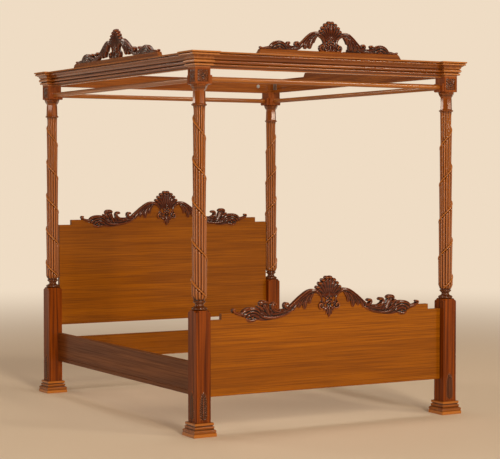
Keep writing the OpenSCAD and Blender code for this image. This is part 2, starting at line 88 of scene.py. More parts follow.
@contextmanager
def editing(piece):
    """Edit mode with the whole piece selected; afterwards its faces look outwards."""
    pick(piece)
    bpy.ops.object.mode_set(mode="EDIT")
    bpy.ops.mesh.select_all(action="SELECT")
    yield
    bpy.ops.mesh.select_all(action="SELECT")
    bpy.ops.mesh.normals_make_consistent(inside=False)
    bpy.ops.object.mode_set(mode="OBJECT")


def apply_modifiers(piece):
    pick(piece)
    for modifier in list(piece.modifiers):
        bpy.ops.object.modifier_apply(modifier=modifier.name)


def join(name, pieces):
    """One settled mesh of several."""
    pick(*pieces)
    if len(pieces) > 1:
        bpy.ops.object.join()
    settle(pieces[0])
    return named(name)


def points_of(piece):
    """The mesh's points as rows of x, y, z."""
    rows = np.empty(len(piece.data.vertices) * 3)
    piece.data.vertices.foreach_get("co", rows)
    return rows.reshape(-1, 3)


def set_points(piece, rows):
    piece.data.vertices.foreach_set("co", np.ascontiguousarray(rows, float).ravel())
    piece.data.update()


def duplicate(piece, name):
    pick(piece)
    bpy.ops.object.duplicate(linked=False)
    return named(name)


def post_at(corner):
    """Where this corner's post stands, in metres."""
    lo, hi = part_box(corner + "_leg")
    return (lo.x + hi.x) / 2, (lo.y + hi.y) / 2


def hand_over(piece, body, node):
    """Hangs a finished piece on its body, in place of the CAD node."""
    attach(piece, body)
    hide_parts(node)


def paint_shade_and_highlights(piece, darkest=(8, 58), ridge_highlight=(72, 97)):
    """Paints how hollow each point lies into red, which the wood turns into painted shade, and how much of
    a ridge it is into blue, which it turns into a painted highlight. The pairs say what percentages of the
    points lie below the two ends of each scale."""
    pick(piece)
    layer = piece.data.color_attributes.new("hollows", "BYTE_COLOR", "CORNER")
    layer.data.foreach_set("color", [0.5, 0.5, 0.5, 1.0] * len(layer.data))
    piece.data.color_attributes.active_color = layer
    bpy.ops.paint.vertex_color_dirt(blur_strength=1.0, blur_iterations=1, clean_angle=math.pi,
                                    dirt_angle=0.0, dirt_only=False, normalize=True)
    # red, the painted shade, goes from 0 in the deep hollows to 1 on the flats; blue, the painted
    # highlight, from 0 there to 1 on ridges
    shade = np.empty(len(layer.data) * 4)
    layer.data.foreach_get("color", shade)
    shade = shade.reshape(-1, 4)
    low, high, crest, sharp = np.percentile(shade[:, 0], (*darkest, *ridge_highlight))
    shade[:, 2] = np.clip((shade[:, 0] - crest) / (sharp - crest), 0, 1)
    shade[:, 0] = np.clip((shade[:, 0] - low) / (high - low), 0, 1)
    layer.data.foreach_set("color", shade.ravel())


def smooth(stops, steps):
    """A smooth line through the stops, as many steps to each stretch."""
    p = np.array([stops[0], *stops, stops[-1]], float)
    rows = []
    # a Catmull-Rom curve: from b to c, heading as a, b, c and d suggest
    for a, b, c, d in zip(p, p[1:], p[2:], p[3:]):
        for t in np.arange(steps) / steps:
            rows.append(0.5 * (2 * b + (c - a) * t + (2 * a - 5 * b + 4 * c - d) * t**2
                               + (3 * b - a - 3 * c + d) * t**3))
    return np.array([*rows, p[-1]])


# %% [markdown]
# ## The studio
# A plain pale floor, a pale room round it and large soft lights, as in a furniture
# studio. The floor is one wide disc that fades into the room's colour far behind the bed,
# as a studio's curved backdrop does, so no edge draws the eye. The room lights the bed only
# a little: the polish should show the lamps, not a white haze.

# %% Colours and nodes
def colour(hexcode):
    """An sRGB hex value, turned to the linear numbers that shaders count in."""
    parts = [int(hexcode[i:i + 2], 16) / 255 for i in (1, 3, 5)]
    return [p / 12.92 if p <= 0.04045 else ((p + 0.055) / 1.055) ** 2.4 for p in parts] + [1.0]


def add_node(tree, kind, inputs=None, **settings):
    """Adds a node, sets its properties, and fills or links its inputs."""
    made = tree.nodes.new(kind)
    for key, value in settings.items():
        setattr(made, key, value)
    for key, value in (inputs or {}).items():
        if isinstance(value, bpy.types.NodeSocket):
            tree.links.new(value, made.inputs[key])
        else:
            made.inputs[key].default_value = value
    return made


def new_material(name):
    """A material with its node tree and its shader."""
    made = bpy.data.materials.new(name)
    made.use_nodes = True
    return made, made.node_tree, made.node_tree.nodes["Principled BSDF"]


# %% Room, floor and lights
WALL = colour("#efdcc4")
FADE_FROM, FADE_TO = 2.0, 11.0        # the floor fades into the wall between these radii, in metres
scene = bpy.context.scene
scene.view_settings.view_transform = "Standard"
room = bpy.data.worlds.new("studio_room")
room.use_nodes = True
air = room.node_tree
walls = air.nodes["Background"]
walls.inputs["Color"].default_value = WALL
walls.inputs["Strength"].default_value = 1.0
# what lights the bed from all round is dimmer than the wall that is seen behind it
dim = add_node(air, "ShaderNodeBackground", {"Color": colour("#e2b58a"), "Strength": 0.2})
seen = add_node(air, "ShaderNodeLightPath").outputs["Is Camera Ray"]
either = add_node(air, "ShaderNodeMixShader", {0: seen, 1: dim.outputs[0], 2: walls.outputs[0]})
air.links.new(either.outputs[0], air.nodes["World Output"].inputs["Surface"])
scene.world = room

bpy.ops.object.select_all(action="DESELECT")
bpy.ops.mesh.primitive_circle_add(vertices=96, radius=40, fill_type="NGON", location=(0, 0, 0))
floor = named("studio_floor")
paint, tree, shader = new_material("matt_floor_paint")
shader.inputs["Base Color"].default_value = colour("#ecdcc6")
shader.inputs["Roughness"].default_value = 0.6
spot = add_node(tree, "ShaderNodeTexCoord").outputs["Object"]
reach = add_node(tree, "ShaderNodeVectorMath", {0: spot}, operation="LENGTH").outputs["Value"]
far = add_node(tree, "ShaderNodeMapRange", {"Value": reach, "From Min": FADE_FROM, "From Max": FADE_TO},
               interpolation_type="SMOOTHSTEP").outputs["Result"]
haze = add_node(tree, "ShaderNodeEmission", {"Color": WALL, "Strength": 1.0})
both = add_node(tree, "ShaderNodeMixShader", {0: far, 1: shader.outputs[0], 2: haze.outputs[0]})
tree.links.new(both.outputs[0], tree.nodes["Material Output"].inputs["Surface"])
floor.data.materials.append(paint)


def soft_light(name, place, target, size, watts, tint):
    """A flat lamp of this size in metres, turned to its target."""
    bpy.ops.object.light_add(type="AREA", location=place)
    made = bpy.context.active_object
    made.name = name
    made.data.shape = "RECTANGLE"
    made.data.size, made.data.size_y = size
    made.data.energy = watts
    made.data.color = colour(tint)[:3]
    aim = Vector(target) - Vector(place)
    made.rotation_euler = aim.to_track_quat("-Z", "Y").to_euler()


# tall lamps draw upright lines on the reeds; the two high ones light the cornice's rolls
soft_light("key_light", (-3.0, -17.0, 6.4), (0, 0, 1.6), (2.6, 9.5), 1900, "#ffeed6")
soft_light("right_light", (9.5, -14.0, 8.6), (0, -0.8, 1.9), (2.6, 4.5), 620, "#ffeed6")
soft_light("left_strip", (-9.5, -2.5, 2.6), (0, -0.5, 1.3), (1.2, 4.4), 110, "#fff1e0")
soft_light("back_left_light", (-7.5, 11.0, 6.5), (-0.8, 0, 2.1), (2.4, 3.6), 190, "#fff1e0")
soft_light("top_light", (0.5, 0.5, 7.0), (0, 0, 0), (4.0, 4.0), 150, "#fff6ea")

# %% Camera, off the left foot corner, with a long lens
bpy.ops.object.camera_add(location=(-5.0354, -8.8355, 1.4642),
                          rotation=(math.radians(88.051), 0, math.radians(-30.052)))
camera = bpy.context.active_object
camera.data.lens = 113.38
camera.data.sensor_width = 36
scene.camera = camera
print("camera", round(camera.location.length, 2), "m from the bed's middle")

# %% [markdown]
# ## The columns
# Each column is turned on a lathe and then carved: a neck of round mouldings, a tapering
# shaft with fourteen reeds, and an eight-sided neck under the capital. A ledge with a thin
# roll winds round the shaft, and each band of reeds starts under it with rounded tips.
# The mouldings are rings, extruded upwards and scaled point by point, which is what a
# lathe does. The shaft is a sheet with its rows lying along the ledge: it is wrapped into
# a tube, and every point is pushed in or out by the reeds' rule. A texture could fake the
# reeds, but their outline has to show against the light.

# %% A ring extruded along a turner's outline
def turned(name, outline, sides, turn=0.0):
    """outline is a list of (radius, height) in millimetres, from the bottom up."""
    bpy.ops.object.select_all(action="DESELECT")
    r, z = outline[0]
    bpy.ops.mesh.primitive_circle_add(vertices=sides, radius=r * MM, fill_type="NGON",
                                      location=(0, 0, z * MM), rotation=(0, 0, turn))
    with editing(settle(bpy.context.active_object)):
        for r2, z2 in outline[1:]:
            bpy.ops.mesh.extrude_region_move(TRANSFORM_OT_translate={"value": (0, 0, (z2 - z) * MM)})
            bpy.ops.transform.resize(value=(r2 / r, r2 / r, 1), center_override=(0, 0, z2 * MM))
            r, z = r2, z2
    return named(name)


# %% Heights and outlines of one column, as (radius, height) in millimetres
LEG_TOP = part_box("foot_left_leg")[1].z / MM
CAPITAL_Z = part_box("foot_left_capital")[0].z / MM
RING_Z = CAPITAL_Z - 120
SHAFT_R, SHAFT_TOP_R = 46.5, 36.0
SHAFT_FOOT = 58       # the shaft starts this far over the leg
NECK = smooth([(34, 0.5), (41.5, 3), (43.9, 7), (43.6, 13), (38.5, 17.3), (31, 20.5), (26, 24.5),
               (23.6, 30), (25, 36), (30.5, 41)], 3)
BEAD = [(31 + 5 * math.cos(a), 49 + 5.6 * math.sin(a)) for a in np.radians(np.arange(-80, 81, 16))]
NECK = [*NECK, (30.6, 42.6), *BEAD, (29.6, 55.8), (29.3, 62)]
BULB = smooth([(27, 58), (31.5, 61.5), (38, 66.5), (43.2, 73.5), (45.8, 81), (46.4, 90)], 6)
RING = [(SHAFT_TOP_R - 3, -3), (SHAFT_TOP_R + 2, -1)]
RING += [(SHAFT_TOP_R + 3 + 5 * math.cos(a), 5 + 5 * math.sin(a))
         for a in np.radians(np.arange(-75, 76, 15))]
RING += [(SHAFT_TOP_R + 1, 11), (SHAFT_TOP_R - 2, 12.5)]
BELL = [(33, 8), (35.5, 12), (34, 16), (32.5, 76), (31.5, 81), *smooth(
    [(31.5, 83), (33.2, 88), (37, 94), (41, 101), (43.5, 107.5)], 3), (43.9, 109), (42.5, 110)]
BELL += [(42.6 + 4 * math.cos(a), 115 + 4 * math.sin(a)) for a in np.radians(np.arange(-80, 81, 20))]
BELL += [(42.5, 119.9)]
print("column from", LEG_TOP, "to", CAPITAL_Z, "mm, ring at", RING_Z)

# %% The reeded shaft
REEDS = 14
LEDGE_PITCH = 225.6
LEDGE_Z = 835.2       # height of a ledge crossing on the side FACING of the left columns
FACING = math.radians(-118.2)
REED_STEPS = 10       # points across one reed
REED_DEPTH = 0.19     # depth of the grooves between the reeds, as a part of the radius
LEDGE_STEP = 5.5      # how far each band's foot lies inside the roll
ROLL_MIDDLE, ROLL_HALF = 8.6, 6.6     # the ledge's roll, measured down from the ledge
ROLL_END = ROLL_MIDDLE + ROLL_HALF
ROLL_RISE, ROLL_SINK = 1.6, 10.0      # its crown over the turned shaft, and its height there
TIP_LENGTH, TIP_SINK = 9.0, 6.0       # the rounded upper ends of the reeds
# heights of the sheet's rows over each ledge, closest together where the roll is
LEDGE_ROWS = [0, 1.2, 2.4, 4, 8, 18, 34, 56, 80, 104, 128, 152, 170, 183, 191, 197, 201.5, 205,
              207.5, 209.3, 210.3, 211, 212, 213.4, 215.2, 217, 218.8, 220.6, 222, 223, 223.6, 224.8]


def shaft_radius(z):
    """The turned outline under the reeds."""
    bulb_r, bulb_z = BULB[:, 0], BULB[:, 1] + LEG_TOP
    taper = SHAFT_R + (SHAFT_TOP_R - SHAFT_R) * (z - bulb_z[-1]) / (RING_Z - bulb_z[-1])
    return np.where(z < bulb_z[-1], np.interp(z, bulb_z, bulb_r), taper)


def reeded_radius(z, angle, climb):
    """climb: height over the ledge below, counted along the axis."""
    turned_r = shaft_radius(z)
    across = (angle * REEDS / (2 * np.pi)) % 1.0 * 2 - 1
    arch = np.sqrt(np.clip(1 - across**2, 0, 1))
    fade_in = np.clip((z - LEG_TOP - SHAFT_FOOT) / 14, 0, 1)
    reeded = turned_r - REED_DEPTH * turned_r * fade_in * (1 - arch)
    below = LEDGE_PITCH - climb                       # distance under the ledge above
    crown = np.sqrt(np.clip(1 - ((below - ROLL_MIDDLE) / ROLL_HALF) ** 2, 0, 1))
    roll = turned_r + ROLL_RISE - ROLL_SINK * (1 - crown)
    tip = np.clip((below - ROLL_END - TIP_SINK * (1 - arch)) / TIP_LENGTH, 0, 1)
    foot = np.clip(climb / 2.4, 0, 1)                 # a narrow groove over the ledge
    sink = TIP_SINK * (1 - np.sqrt(1 - (1 - tip) ** 2))
    reed = reeded - LEDGE_STEP * (1 - climb / LEDGE_PITCH) - sink
    banded = np.where(below < ROLL_END, roll, reed) - 5.0 * (1 - foot)
    # the ledge runs out at both ends of the shaft
    strength = np.clip((z - LEG_TOP - 66) / 22, 0, 1) * np.clip((RING_Z + 4 - z) / 10, 0, 1)
    return reeded + (banded - reeded) * strength


def reeded_shaft(name):
    """A sheet whose rows follow the ledge, wrapped into a tube and cut level at both ends."""
    around = REEDS * REED_STEPS
    low, high = LEG_TOP + SHAFT_FOOT, RING_Z + 3
    turns = math.ceil((high - low) / LEDGE_PITCH) + 2
    rows = turns * len(LEDGE_ROWS)
    bpy.ops.object.select_all(action="DESELECT")
    bpy.ops.mesh.primitive_grid_add(x_subdivisions=around, y_subdivisions=rows, size=1.0)
    shaft = named(name)
    co = points_of(shaft)
    column = np.rint((co[:, 0] + 0.5) * around).astype(int)
    row = np.rint((co[:, 1] + 0.5) * rows).astype(int)
    climb = np.array(LEDGE_ROWS)[row % len(LEDGE_ROWS)]
    ledge_z = LEDGE_Z + LEDGE_PITCH * (row // len(LEDGE_ROWS) - 2)
    angle = FACING - 2 * np.pi * column / around
    z = ledge_z + climb + LEDGE_PITCH * (column / around)
    r = reeded_radius(z, angle, climb)
    set_points(shaft, np.stack([r * np.cos(angle), r * np.sin(angle), z], 1) * MM)
    with editing(shaft):
        bpy.ops.mesh.remove_doubles(threshold=0.00002)
        for height, keep_inner in ((low, False), (high, True)):
            bpy.ops.mesh.select_all(action="SELECT")
            bpy.ops.mesh.bisect(plane_co=(0, 0, height * MM), plane_no=(0, 0, 1), use_fill=True,
                                clear_inner=not keep_inner, clear_outer=keep_inner)
    return shaft


# %% One column, then its three copies
def lifted(outline, z):
    return [(r, h + z) for r, h in outline]


EIGHTH = 1 / math.cos(math.radians(22.5))   # an octagon's corner over its flat
column = join("turned_column", [
    turned("neck_turning", lifted(NECK, LEG_TOP), 72),
    reeded_shaft("reeded_shaft"),
    turned("ring_turning", lifted(RING, RING_Z), 72),
    turned("bell_turning", [(r * EIGHTH, h + RING_Z) for r, h in BELL], 8, turn=math.radians(22.5)),
])
pick(column)
bpy.ops.object.shade_smooth_by_angle(angle=math.radians(38))
# painted shade in the hollows and painted highlights on the ridges of the turnings
paint_shade_and_highlights(column, darkest=(4, 40))
# on the shaft, painted shade lies between the reeds with a painted shadow under the roll, and painted
# highlights lie on the roll and the reeds' crowns
corner_points = np.empty(len(column.data.loops), int)
column.data.loops.foreach_get("vertex_index", corner_points)
x, y, height = points_of(column)[corner_points].T / MM
angle = np.arctan2(y, x)
across = np.abs((angle * REEDS / (2 * np.pi)) % 1.0 * 2 - 1)
climb = (height - LEDGE_Z - LEDGE_PITCH * (FACING - angle) / (2 * np.pi)) % LEDGE_PITCH
under_roll = LEDGE_PITCH - climb - ROLL_END
groove = np.clip((1.05 - across) / 0.45, 0, 1)
groove *= np.clip(under_roll / 7, 0.1, 1) * np.clip(climb / 5, 0.2, 1)
on_shaft = (height > LEG_TOP + 64) & (height < RING_Z - 1)
shade = np.empty(len(column.data.loops) * 4)
column.data.color_attributes["hollows"].data.foreach_get("color", shade)
shade = shade.reshape(-1, 4)
# the painted shade is heavier on the turned neck, by the ring and under the capital
shade[:, 0] *= np.interp(height, [LEG_TOP, LEG_TOP + 62, LEG_TOP + 64, RING_Z - 1, RING_Z, RING_Z + 16,
                                  RING_Z + 84, RING_Z + 100, RING_Z + 114],
                         [0.4, 0.5, 1, 1, 0.5, 1, 1, 0.4, 0.9])
# red: painted shade in the grooves between the reeds and a painted shadow under the roll
shade[:, 0] = np.where(on_shaft, np.where(under_roll < 0, 1, groove), shade[:, 0])
# blue: painted highlights on the roll and on the reeds' crowns
shade[:, 2] = np.where(on_shaft, np.where(under_roll < 0, 1, np.clip(1 - across / 0.7, 0, 1)), 0)
column.data.color_attributes["hollows"].data.foreach_set("color", shade.ravel())
# the left columns wind one way, the right ones are their mirror images
columns = {}
for corner, side in (("foot_left", 1), ("head_left", 1), ("foot_right", -1), ("head_right", -1)):
    copy = duplicate(column, corner + "_reeded_column")
    copy.scale = (side, 1, 1)
    copy.location = (*post_at(corner), 0)
    settle(copy)
    if side < 0:
        with editing(copy):
            pass                        # only to turn the mirrored faces outwards
    hand_over(copy, "bed_frame", corner + "_column")
    columns[corner] = copy
bpy.data.objects.remove(column)
print("column:", len(copy.data.polygons), "faces each")

# %% [markdown]
# ## Carved leaves, scrolls and shells
# The crests, the board carvings and the small leaves on the posts are carved from darker
# mahogany: ridged leaves that curl over, little scrolls and a scalloped shell. They could
# be sculpted by hand, but each of them is really a set of strokes. One stroke is a ball
# that is drawn out along a line, with its own width and height at each point and with
# ridges along it. The strokes of one carving are joined, mirrored where the design is,
# fused by the Remesh modifier, and smoothed as a carver's scraper would.
# The front of a carving looks towards -Y; x runs to the right and z up.

# %% A ball drawn out along a line
VEIN = 3.4            # depth of the grooves between a stroke's ridges, in millimetres


def stroke(line, widths, heights, ridges=1, tilt=0.0, deep=0.0, relief=10.0):
    """Half widths in mm and heights as parts of relief, both spread evenly along the line.
    deep is how far the stroke's back lies behind the ground, ridges how many run along it,
    and tilt lifts one edge over the other."""
    rings = max(10, 5 * len(line))
    bpy.ops.mesh.primitive_uv_sphere_add(segments=12 + 10 * ridges, ring_count=rings, radius=1)
    ball = bpy.context.active_object
    co = points_of(ball)
    along = np.arccos(np.clip(-co[:, 2], -1, 1)) / np.pi
    turn = np.arctan2(co[:, 1], co[:, 0])
    path = smooth(line, 12)
    step = np.concatenate([[0], np.cumsum(np.linalg.norm(np.diff(path, axis=0), axis=1))])
    at = along * step[-1]
    x, z = np.interp(at, step, path[:, 0]), np.interp(at, step, path[:, 1])
    slope = np.gradient(path, axis=0)
    dx, dz = np.interp(at, step, slope[:, 0]), np.interp(at, step, slope[:, 1])
    length = np.hypot(dx, dz) + 1e-9
    stops = np.linspace(0, 1, len(widths))
    rounding = (1 - np.abs(2 * along - 1) ** 5) ** 0.5
    width = np.interp(along, stops, widths) * rounding
    tops = np.linspace(0, 1, len(heights))
    top = np.interp(along, tops, heights) * relief
    across = np.cos(turn)
    front = np.sin(turn) > -1e-6
    dome = np.sqrt(np.clip(1 - across**2, 0, 1))
    body = top * (0.35 + 0.65 * dome) * rounding + tilt * across * relief * dome
    if ridges > 1:
        body -= VEIN * (1 - np.abs(np.cos(np.pi * ridges * across / 2))) * dome
    out = np.where(front, body, -deep)
    co = np.stack([x - across * width * dz / length, -out, z + across * width * dx / length], 1)
    set_points(ball, co * MM)
    return ball


def knob(x, z, r, height=1.0, deep=0.0, relief=10.0, tall=None):
    """A round bead or boss."""
    tall = tall or r
    return stroke([(x, z - tall), (x, z), (x, z + tall)], [0.5 * r, r, 0.5 * r],
                  [0.3 * height, height, 0.3 * height], deep=deep, relief=relief)


def fused(name, pieces, voxel, mirrored=True, passes=2):
    """Joins the strokes, mirrors them over x = 0 and fuses them into one carved body."""
    body = join(name, pieces)
    if mirrored:
        body.modifiers.new("other_half", "MIRROR").use_mirror_merge = False
    fuse = body.modifiers.new("fuse", "REMESH")
    fuse.mode = "VOXEL"
    fuse.voxel_size = voxel * MM
    scrape = body.modifiers.new("scrape", "SMOOTH")
    scrape.factor, scrape.iterations = 0.5, passes
    apply_modifiers(body)
    bpy.ops.object.shade_smooth()
    return body


# %% [markdown]
# ## The carving on the headboard and the footboard
# In the middle stands a shell over a small rosette and a hanging leaf, between two
# scrolls. On each side an arched leaf with hanging lobes sweeps down to a thin stem that
# carries three curls, a big rolled leaf and a scroll at the end.

# %% The shell and its rosette, which the crests share
def shell(ribs, base, opts):
    """ribs: the rim's points from the middle outwards; base: where they meet."""
    pieces = []
    # each rib starts a little lower than the last and ends in a knob, a little smaller
    for i, (x, z) in enumerate(ribs):
        mid = ((x + base[0]) * 0.52, (z + base[1]) * 0.5)
        pieces.append(stroke([(base[0] + 1.5 * i, base[1] - 2 * i), mid, (x, z)],
                             [3, 6.5, 10, 12], [0.75, 0.45, 0.55, 0.9], **opts))
        pieces.append(knob(x, z, 12.5 - 0.4 * i, 1.0, **opts))
    return pieces


def scroll(x, z, r, opts):
    """A volute: a stem that winds round an eye."""
    turns = [(x + r * k * math.cos(a), z + r * k * math.sin(a))
             for k, a in [(1.3, -2.4), (0.95, -1.4), (0.72, -0.3), (0.7, 0.8), (0.66, 1.9),
                          (0.56, 3.0), (0.42, 4.1), (0.22, 5.2)]]
    return [knob(x, z, r * 0.96, 0.45, **opts),
            stroke(turns, [0.34 * r, 0.36 * r, 0.33 * r, 0.3 * r, 0.26 * r, 0.2 * r],
                   [0.7, 0.9, 1.0, 1.0, 0.95, 0.9], **opts),
            knob(x, z, r * 0.24, 1.0, **opts)]


# %% [markdown]
# The strokes were first drawn as thin as a pencil plan. Carved leaves are fuller than that,
# because a thin one would break off, so one factor swells every leaf of both designs.

# %% Strokes of the board carving, right half, heights from the board's top edge
PLUMP = 1.22


def board_carving_strokes(opts):
    def s(line, widths, heights, ridges=1, tilt=0.0):
        """One plump stroke."""
        return stroke(line, [PLUMP * w for w in widths], heights, ridges, tilt, **opts)

    pieces = [knob(0, 116, 74, 0.4, tall=62, **opts), knob(0, 50, 28, 0.3, tall=42, **opts),
              knob(48, 28, 22, 0.25, tall=30, **opts)]
    pieces += shell([(12.5, 183), (38, 169), (59, 150), (76, 128), (86, 104)], (3, 66), opts)
    pieces += scroll(57, 21, 18, opts)
    pieces += [
        # the ground behind the curls and the rolled leaf
        s([(250, 14), (300, -4), (350, -8), (400, -10), (440, 6)], [6, 14, 16, 18, 14], [0.3] * 5),
        s([(410, -18), (450, -2), (500, -8), (550, -14), (588, -16)], [12, 22, 26, 22, 8], [0.3] * 5),
        s([(350, -24), (400, -34), (450, -37), (500, -34)], [9, 13, 13, 10], [0.3] * 4),
        # rosette under the shell
        knob(0, 75, 6.5, 1.0, **opts), knob(0, 50, 8, 0.95, **opts), knob(0, 33, 7, 0.8, **opts),
        s([(3, 66), (15, 61), (26, 50)], [5, 7, 2.5], [0.9, 0.95, 0.6], 2),
        s([(3, 47), (15, 42), (25, 30)], [5, 7, 3], [0.8, 0.9, 0.6], 2),
        # hanging leaf and its wings
        s([(0, 28), (0, 4), (0, -26), (0, -55)], [15, 19, 11, 2], [0.6, 0.95, 0.95, 0.6], 3),
        s([(5, 12), (22, 2), (39, -12)], [9, 9, 3], [0.8, 0.85, 0.5], 2),
        s([(4, -8), (14, -20), (22, -35)], [8, 7, 2.5], [0.8, 0.8, 0.5], 2),
        s([(16, 6), (32, 8), (44, 8)], [7, 6, 6], [0.6, 0.6, 0.6]),
        # the arch
        s([(45, 6), (45, 40), (54, 74), (76, 99), (106, 108), (142, 98), (186, 70), (228, 41),
           (264, 19), (294, 2)],
          [8, 6.5, 6.5, 9, 12, 13, 13, 11, 8, 3], [0.5, 0.6, 0.75, 0.85, 0.9, 0.9, 0.8, 0.65, 0.5, 0.3],
          2, 0.12),
        # its hanging lobes
        s([(104, 104), (124, 84), (136, 60), (134, 32)], [9, 12, 12, 9], [0.8, 0.95, 1, 0.8], 3),
        s([(128, 100), (152, 72), (168, 40), (168, 0)], [10, 14, 14, 10], [0.8, 1, 1, 0.8], 3),
        s([(160, 84), (186, 56), (204, 30), (207, 8)], [10, 13, 12, 8], [0.75, 0.9, 0.9, 0.7], 3),
        s([(200, 60), (224, 36), (240, 12), (242, -7)], [8, 10, 9, 3], [0.6, 0.75, 0.7, 0.45], 2),
        # the stem
        s([(230, 22), (262, -4), (312, -25), (372, -35), (430, -33), (480, -18)],
          [3, 5.5, 6.5, 7, 7, 5], [0.3, 0.6, 0.75, 0.8, 0.8, 0.6]),
        s([(248, 16), (286, 3), (332, -9), (374, -17), (400, -26)], [6, 10, 11, 10, 4],
          [0.4, 0.6, 0.65, 0.6, 0.4], 3),
        # three curls
        s([(258, 10), (284, 13), (300, 26), (297, 40), (284, 43), (276, 37)],
          [6, 7.5, 7, 6.5, 6, 5], [0.5, 0.6, 0.75, 0.9, 1, 1]),
        knob(282, 39, 8, 1.0, **opts),
        s([(322, -8), (356, 0), (381, 15), (388, 34), (378, 46), (364, 45), (358, 38)],
          [7, 10, 9.5, 8.5, 7, 6.5, 5], [0.5, 0.65, 0.75, 0.85, 0.95, 1, 1], 2),
        knob(367, 42, 8.5, 1.0, **opts),
        s([(396, -32), (413, -10), (424, 14), (438, 36), (456, 46)], [4, 7, 9.5, 13, 8],
          [0.5, 0.65, 0.75, 0.9, 0.7], 2),
        s([(470, 38), (458, 53), (440, 57), (424, 52), (419, 44)], [6, 9, 9, 8, 6],
          [0.7, 0.9, 1, 1, 0.9], 2),
        s([(444, 2), (466, 24), (489, 36)], [10, 8, 3], [0.6, 0.75, 0.5], 2),
        # the rolled leaf
        s([(414, -30), (446, -16), (478, -2)], [8, 13, 13], [0.5, 0.65, 0.65], 3),
        s([(464, -14), (484, 10), (512, 18), (548, 16), (576, 5), (592, -13)],
          [8, 9, 10, 10, 9, 4], [0.6, 0.8, 0.95, 1, 0.9, 0.55], 2),
        s([(468, -22), (492, -4), (522, 3), (552, -2), (573, -17), (580, -33)],
          [8, 9, 9, 9, 8, 4], [0.6, 0.8, 0.9, 0.95, 0.85, 0.55], 2),
        s([(472, -32), (496, -20), (524, -12), (546, -20), (556, -36)], [7, 8, 8, 8, 4],
          [0.6, 0.75, 0.8, 0.85, 0.55]),
        s([(484, -36), (512, -46), (540, -47), (566, -36)], [5, 7, 8, 5], [0.5, 0.7, 0.8, 0.5], 2),
        knob(522, -31, 8, 1.0, **opts),
        # the end scroll
        s([(568, -8), (596, -8), (622, -2), (641, 8), (645, 18), (638, 22), (630, 17)],
          [8, 9, 9, 7, 5.5, 5, 4.5], [0.6, 0.7, 0.75, 0.85, 0.95, 1, 1], 2),
    ]
    return pieces


# %% Both board carvings
SHELL_TOP = 196       # height of the shell over the board's top edge
panel_lo, panel_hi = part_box("footboard_panel")
proud = (panel_lo.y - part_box("footboard_carving")[0].y) / MM
thick = (panel_hi.y - panel_lo.y) / MM
board_opts = {"deep": thick - 1.5, "relief": proud}
board_carving = fused("board_carving", board_carving_strokes(board_opts), voxel=2.6)
# painted shade, with glaze, in the carving's hollows and painted highlights on its ridges
paint_shade_and_highlights(board_carving)
board_carvings = {}
for end in ("foot", "head"):
    copy = duplicate(board_carving, end + "board_carved_crest")
    copy.location = (0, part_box(end + "board_panel")[0].y,
                     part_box(end + "board_carving")[1].z - SHELL_TOP * MM)
    settle(copy)
    hand_over(copy, "bed_frame", end + "board_carving")
    board_carvings[end] = copy
    print(end, "carving", len(copy.data.polygons), "faces, proud by", round(proud, 1), "mm")
bpy.data.objects.remove(board_carving)


